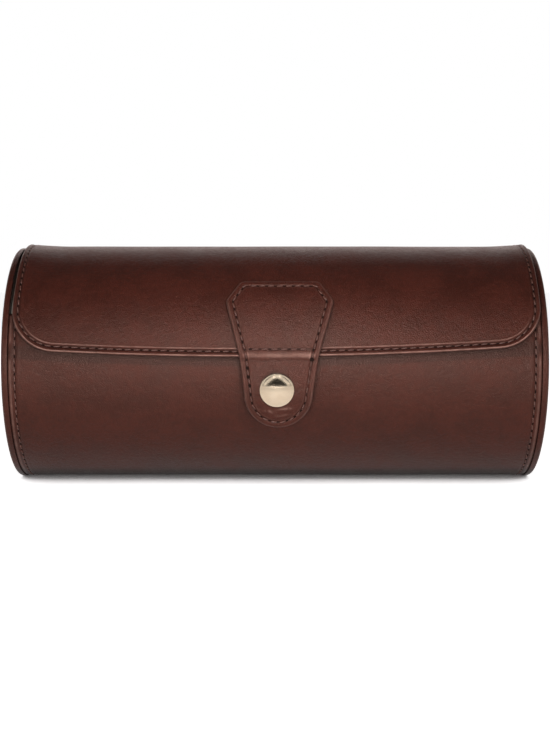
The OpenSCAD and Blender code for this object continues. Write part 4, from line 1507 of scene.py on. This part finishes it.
class WATCHCASE_OT_cushions(bpy.types.Operator):
    """Adds the three lift-out cushions, swollen by a short cloth simulation, with piped seams"""

    bl_idname = "watchcase.cushions"
    bl_label = "Cushions"

    def execute(self, context):
        shape, faces = self.swollen()
        for number, place in enumerate(("left", "middle", "right")):
            wave = 0.25 * np.sin(shape[:, 0] / 5.3 + number * 2.1) * np.sin(shape[:, 2] / 6.7 + number)
            local = shape * (1 + wave / 30.0)[:, None]
            mesh = new_mesh(f"cushion_{place}_pad", in_bay(place, local), faces)
            mesh.materials.append(kept(cushion_velvet))
            worked = bmesh.new()
            worked.from_mesh(mesh)
            face_outwards(worked)
            worked.to_mesh(mesh)
            worked.free()
            mesh.shade_smooth()
            pad = add_object(f"cushion_{place}_pad", mesh)
            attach(pad, f"cushion_{place}")
            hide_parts(f"cushion_cover_{place}", f"cushion_core_{place}")
            self.piping(place, local)
        return {"FINISHED"}

    def piping(self, place, local):
        """A corded seam round each end: a tube on the pad's own surface, at a fixed place along it."""
        turn = np.linspace(0, 2 * math.pi, 72, endpoint=False)
        ring = np.linspace(0, 2 * math.pi, 8, endpoint=False)
        spin = np.arctan2(local[:, 1], local[:, 0])
        reach = np.hypot(local[:, 0], local[:, 1])
        parts = []
        for at in (-SEAM_AT, SEAM_AT):
            near = np.abs(local[:, 2] - at) < 2.6
            order = spin[near].argsort()
            angles, values = spin[near][order], np.tile(reach[near][order], 3)
            angles = np.concatenate([angles - 2 * math.pi, angles, angles + 2 * math.pi])
            seen = np.where(turn > math.pi, turn - 2 * math.pi, turn)
            smooth = np.array([np.average(values, weights=bell(angles - t, 0.16)) for t in seen])
            r = smooth[:, None] + CORD_R * np.cos(ring)
            c = at + CORD_R * np.sin(ring)[None, :] + 0 * r
            tube = np.stack([r * np.cos(turn)[:, None], r * np.sin(turn)[:, None], c], -1)
            parts.append(outward((in_bay(place, tube), quads(len(turn), len(ring), True, True))))
        add_piece(f"cushion_{place}_piping", parts, [cushion_velvet], f"cushion_{place}")

    def swollen(self):
        """The pad's points in its own coordinates, and its faces.

        A pillow is remeshed at 4.5 mm, pressed out by air, subdivided once, held in the box of its CAD cover
        and drawn in at its two seams.
        """
        low, high = corners("cushion_cover_middle")
        size = np.array([PAD_WIDTH, PAD_HEIGHT, high[0] - low[0]])
        start = cushion_start(size[2] - 3.0, PAD_WIDTH - 3.4, PAD_HEIGHT - 3.4)
        points, faces, _, _ = join((start, quads(30, 48, closed_columns=True)))
        mesh = new_mesh("pad_blank", points, faces.tolist())
        worked = bmesh.new()
        worked.from_mesh(mesh)
        bmesh.ops.remove_doubles(worked, verts=worked.verts, dist=1e-5)
        bmesh.ops.recalc_face_normals(worked, faces=worked.faces)
        worked.to_mesh(mesh)
        worked.free()
        pad = add_object("pad_blank", mesh)
        self.apply(pad, "REMESH", mode="VOXEL", voxel_size=0.0045)
        self.press_out(pad)
        self.apply(pad, "SUBSURF", levels=1, render_levels=1)
        local = self.coordinates(pad) / MM
        faces = [list(p.vertices) for p in pad.data.polygons]
        bpy.data.objects.remove(pad)
        local *= np.minimum(1.0, size / 2 / np.abs(local).max(0))
        dip = 1.1 * (bell(local[:, 2] - SEAM_AT, 1.6) + bell(local[:, 2] + SEAM_AT, 1.6))
        across = np.maximum(np.hypot(local[:, 0], local[:, 1]), 1.0)
        local[:, :2] *= (1 - dip / across)[:, None]
        return local, faces

    def press_out(self, pad):
        """Air swells the pad for 20 frames of cloth simulation. No point moves by more than 4 mm."""
        scene, frames = bpy.context.scene, 20
        before = self.coordinates(pad)
        cloth = pad.modifiers.new("air", "CLOTH")
        cloth.settings.use_pressure = True
        cloth.settings.uniform_pressure_force = 4.0
        cloth.settings.effector_weights.gravity = 0.0
        cloth.settings.quality = 6
        cloth.point_cache.frame_start, cloth.point_cache.frame_end = 1, frames
        for step in range(1, frames + 1):
            scene.frame_set(step)
        after = self.coordinates(pad.evaluated_get(bpy.context.evaluated_depsgraph_get()))
        pad.modifiers.remove(cloth)
        scene.frame_set(1)
        move = after - before
        size = np.linalg.norm(move, axis=1, keepdims=True)
        move *= np.minimum(1.0, 0.004 / np.maximum(size, 1e-9))
        pad.data.vertices.foreach_set("co", (before + move).astype(np.float32).ravel())

    def coordinates(self, thing):
        """A mesh object's points."""
        points = np.empty(len(thing.data.vertices) * 3, np.float32)
        thing.data.vertices.foreach_get("co", points)
        return points.reshape(-1, 3).astype(float)

    def apply(self, thing, kind, **settings):
        """Adds a modifier and applies it."""
        modifier = thing.modifiers.new(kind.lower(), kind)
        for key, value in settings.items():
            setattr(modifier, key, value)
        view = bpy.context.evaluated_depsgraph_get()
        done = bpy.data.meshes.new_from_object(thing.evaluated_get(view))
        thing.modifiers.clear()
        thing.data = done


# ---- Stage ----


def looks(tree):
    """Two values: 1 where the camera looks, straight or through a glass, and 1 where a gloss looks."""
    path = tree.nodes.new("ShaderNodeLightPath")
    direct = add_math(tree, "MAXIMUM", path.outputs["Is Camera Ray"], path.outputs["Is Transmission Ray"])
    return direct, path.outputs["Is Glossy Ray"]


def white_paper(name):
    """White paper: matt, and plain white to the camera, a gloss or a glass, but for a painted contact shadow
    near the case.
    """
    material, tree, shader, place = new_material(name, Roughness=0.9, Specular_IOR_Level=0.1)
    grain = remap(tree, noise(tree, place, 3.0), 0.3, 0.7, 0.0, 0.05)
    tone = mix_colour(tree, grain, tint(colours().floor), (0.7, 0.68, 0.68, 1.0))
    near = add_node(tree, "ShaderNodeAmbientOcclusion", {"samples": 8}, Distance=0.05).outputs["AO"]
    direct, gloss = looks(tree)
    # Painted shadow: ambient occlusion dims the floor's glow near the case, both as the camera sees it and as
    # a gloss mirrors it.
    seen = multiply(tree, multiply(tree, direct, remap(tree, near, 0.08, 0.30)), 0.85)
    mirrored = multiply(tree, gloss, remap(tree, near, 0.03, 0.16, 0.0, 0.42))
    glow = add_math(tree, "MAXIMUM", seen, mirrored)
    put_all(tree, shader, Base_Color=tone, Emission_Color=(1.0, 1.0, 1.0, 1.0), Emission_Strength=glow)
    return material


class WATCHCASE_OT_stage(bpy.types.Operator):
    """Adds the white floor, the lamps, the sky and the camera"""

    bl_idname = "watchcase.stage"
    bl_label = "Stage"

    def execute(self, context):
        scene = context.scene
        size = 4000.0
        corner = [(x * size, y * size, -0.02) for x, y in ((-1, -1), (1, -1), (1, 1), (-1, 1))]
        mesh = new_mesh("floor", np.array(corner), [[0, 1, 2, 3]])
        mesh.materials.append(kept(white_paper))
        floor = add_object("floor", mesh)
        self.sky(scene)
        self.lamp("low_softbox", (0.0, -1.15, 0.12), (0.9, 0.16), 10.2, cap="EXCLUDE")
        near = self.lamp("near_softbox", (0.006, -0.16, 0.121), (0.09, 0.03), 0.125, cap="EXCLUDE")
        near.visible_camera = False
        self.lamp("back_softbox", (0.0, 1.10, 0.55), (1.8, 0.5), 5.4, (1.0, 0.84, 0.80))
        # Panels that only the cap mirrors: one above, and a slanting one on each side
        self.lamp("cap_top_panel", (0.0, -0.80, 0.66), (0.45, 0.26), 0.33, cap="INCLUDE")
        for side, name in SIDES:
            self.lamp(f"{name}_softbox", (side * 0.95, -0.62, 0.22), (0.6, 0.36), 1.25, cap="EXCLUDE")
            place, slant = (side * 0.290, -0.495, 0.247), math.radians(-44 * side)
            self.lamp(f"cap_{name}_panel", place, (0.53, 0.112), 0.18, cap="INCLUDE", slant=slant)
        self.camera(scene)
        scene.view_settings.view_transform = "Standard"
        return {"FINISHED"}

    def sky(self, scene):
        """A grey wall behind, pale walls at the sides and a dark room in front, plain white to the camera."""
        world = bpy.data.worlds.new("room")
        scene.world = world
        world.use_nodes = True
        tree = world.node_tree
        place = tree.nodes.new("ShaderNodeTexCoord").outputs["Generated"]
        way = add_node(tree, "ShaderNodeSeparateXYZ", Vector=place)
        behind = remap(tree, way.outputs["Y"], -0.2, 0.4, 0.015, 0.15)
        walls = remap(tree, add_math(tree, "ABSOLUTE", way.outputs["X"]), 0.70, 0.92, 0.0, 0.6)
        walls = multiply(tree, walls, remap(tree, way.outputs["Z"], 0.35, 0.60, 1.0, 0.0))
        pale = add_math(tree, "MAXIMUM", behind, walls)
        direct, _ = looks(tree)
        put_all(tree, tree.nodes["Background"], Color=add_math(tree, "MAXIMUM", pale, direct), Strength=1.0)

    def lamp(self, name, place, size, power, colour=(1.0, 1.0, 1.0), cap=None, slant=0.0):
        """A soft rectangular lamp that looks at the case. It may leave out the cap, or light nothing else."""
        light = bpy.data.lights.new(name, "AREA")
        light.shape = "RECTANGLE"
        light.size, light.size_y = size
        light.energy = power
        light.color = colour
        thing = add_object(name, light)
        self.aim(thing, np.array(place), np.array((0.0, 0.0, 0.046)), slant)
        if cap:
            receivers = bpy.data.collections.new(f"{name}_receivers")
            receivers.objects.link(bpy.data.objects["snap_dome"])
            receivers.collection_objects[0].light_linking.link_state = cap
            thing.light_linking.receiver_collection = receivers
        return thing

    def camera(self, scene):
        """The photograph's view: 4 degrees above the axis and 555 mm from it, with a lens of 66.3 mm."""
        data = bpy.data.cameras.new("camera")
        data.sensor_fit = "VERTICAL"
        data.sensor_height = 36.0
        data.lens = 66.3
        data.clip_start, data.clip_end = 0.05, 50.0
        thing = add_object("camera", data)
        rise, away = math.radians(4.0), 0.555
        place = np.array([0.0, -away * math.cos(rise), AXIS_Z * MM + away * math.sin(rise)])
        self.aim(thing, place, np.array([0.0, 0.0, AXIS_Z * MM - 0.00195]))
        scene.camera = thing

    def aim(self, thing, place, target, slant=0.0):
        """Puts an object at a place: its -Z axis towards a target, and its Y axis up or turned by a slant."""
        back = place - target
        back /= np.linalg.norm(back)
        side = np.cross([0.0, 0.0, 1.0], back)
        side /= np.linalg.norm(side)
        up = np.cross(back, side)
        cosine, sine = math.cos(slant), math.sin(slant)
        matrix = np.eye(4)
        matrix[:3] = np.stack([side * cosine + up * sine, up * cosine - side * sine, back, place], -1)
        thing.matrix_world = Matrix(matrix.tolist())


class WATCHCASE_PT_panel(bpy.types.Panel):
    """Lists the pieces and their sizes and colours"""

    bl_idname = "WATCHCASE_PT_panel"
    bl_label = "Watch travel case"
    bl_space_type = "VIEW_3D"
    bl_region_type = "UI"
    bl_category = "Watch Case"

    def draw(self, context):
        layout = self.layout
        for operator in OPERATORS:
            layout.operator(operator.bl_idname)
        for settings in (context.scene.watch_case_sizes, context.scene.watch_case_colours):
            box = layout.box()
            for key in settings.__annotations__:
                box.prop(settings, key)


OPERATORS = (
    WATCHCASE_OT_wrap,
    WATCHCASE_OT_end_covers,
    WATCHCASE_OT_flap,
    WATCHCASE_OT_tab,
    WATCHCASE_OT_snap,
    WATCHCASE_OT_linings,
    WATCHCASE_OT_cushions,
    WATCHCASE_OT_stage,
)
CLASSES = (WatchCaseSizes, WatchCaseColours, *OPERATORS, WATCHCASE_PT_panel)


def register():
    """Adds the classes and the two groups of settings."""
    for cls in CLASSES:
        bpy.utils.register_class(cls)
    bpy.types.Scene.watch_case_sizes = PointerProperty(type=WatchCaseSizes)
    bpy.types.Scene.watch_case_colours = PointerProperty(type=WatchCaseColours)


def unregister():
    """Takes them away again."""
    del bpy.types.Scene.watch_case_sizes
    del bpy.types.Scene.watch_case_colours
    for cls in reversed(CLASSES):
        bpy.utils.unregister_class(cls)


def main():
    """Builds every piece in order."""
    register()
    for operator in OPERATORS:
        group, name = operator.bl_idname.split(".")
        getattr(getattr(bpy.ops, group), name)()


if __name__ == "__main__":
    main()
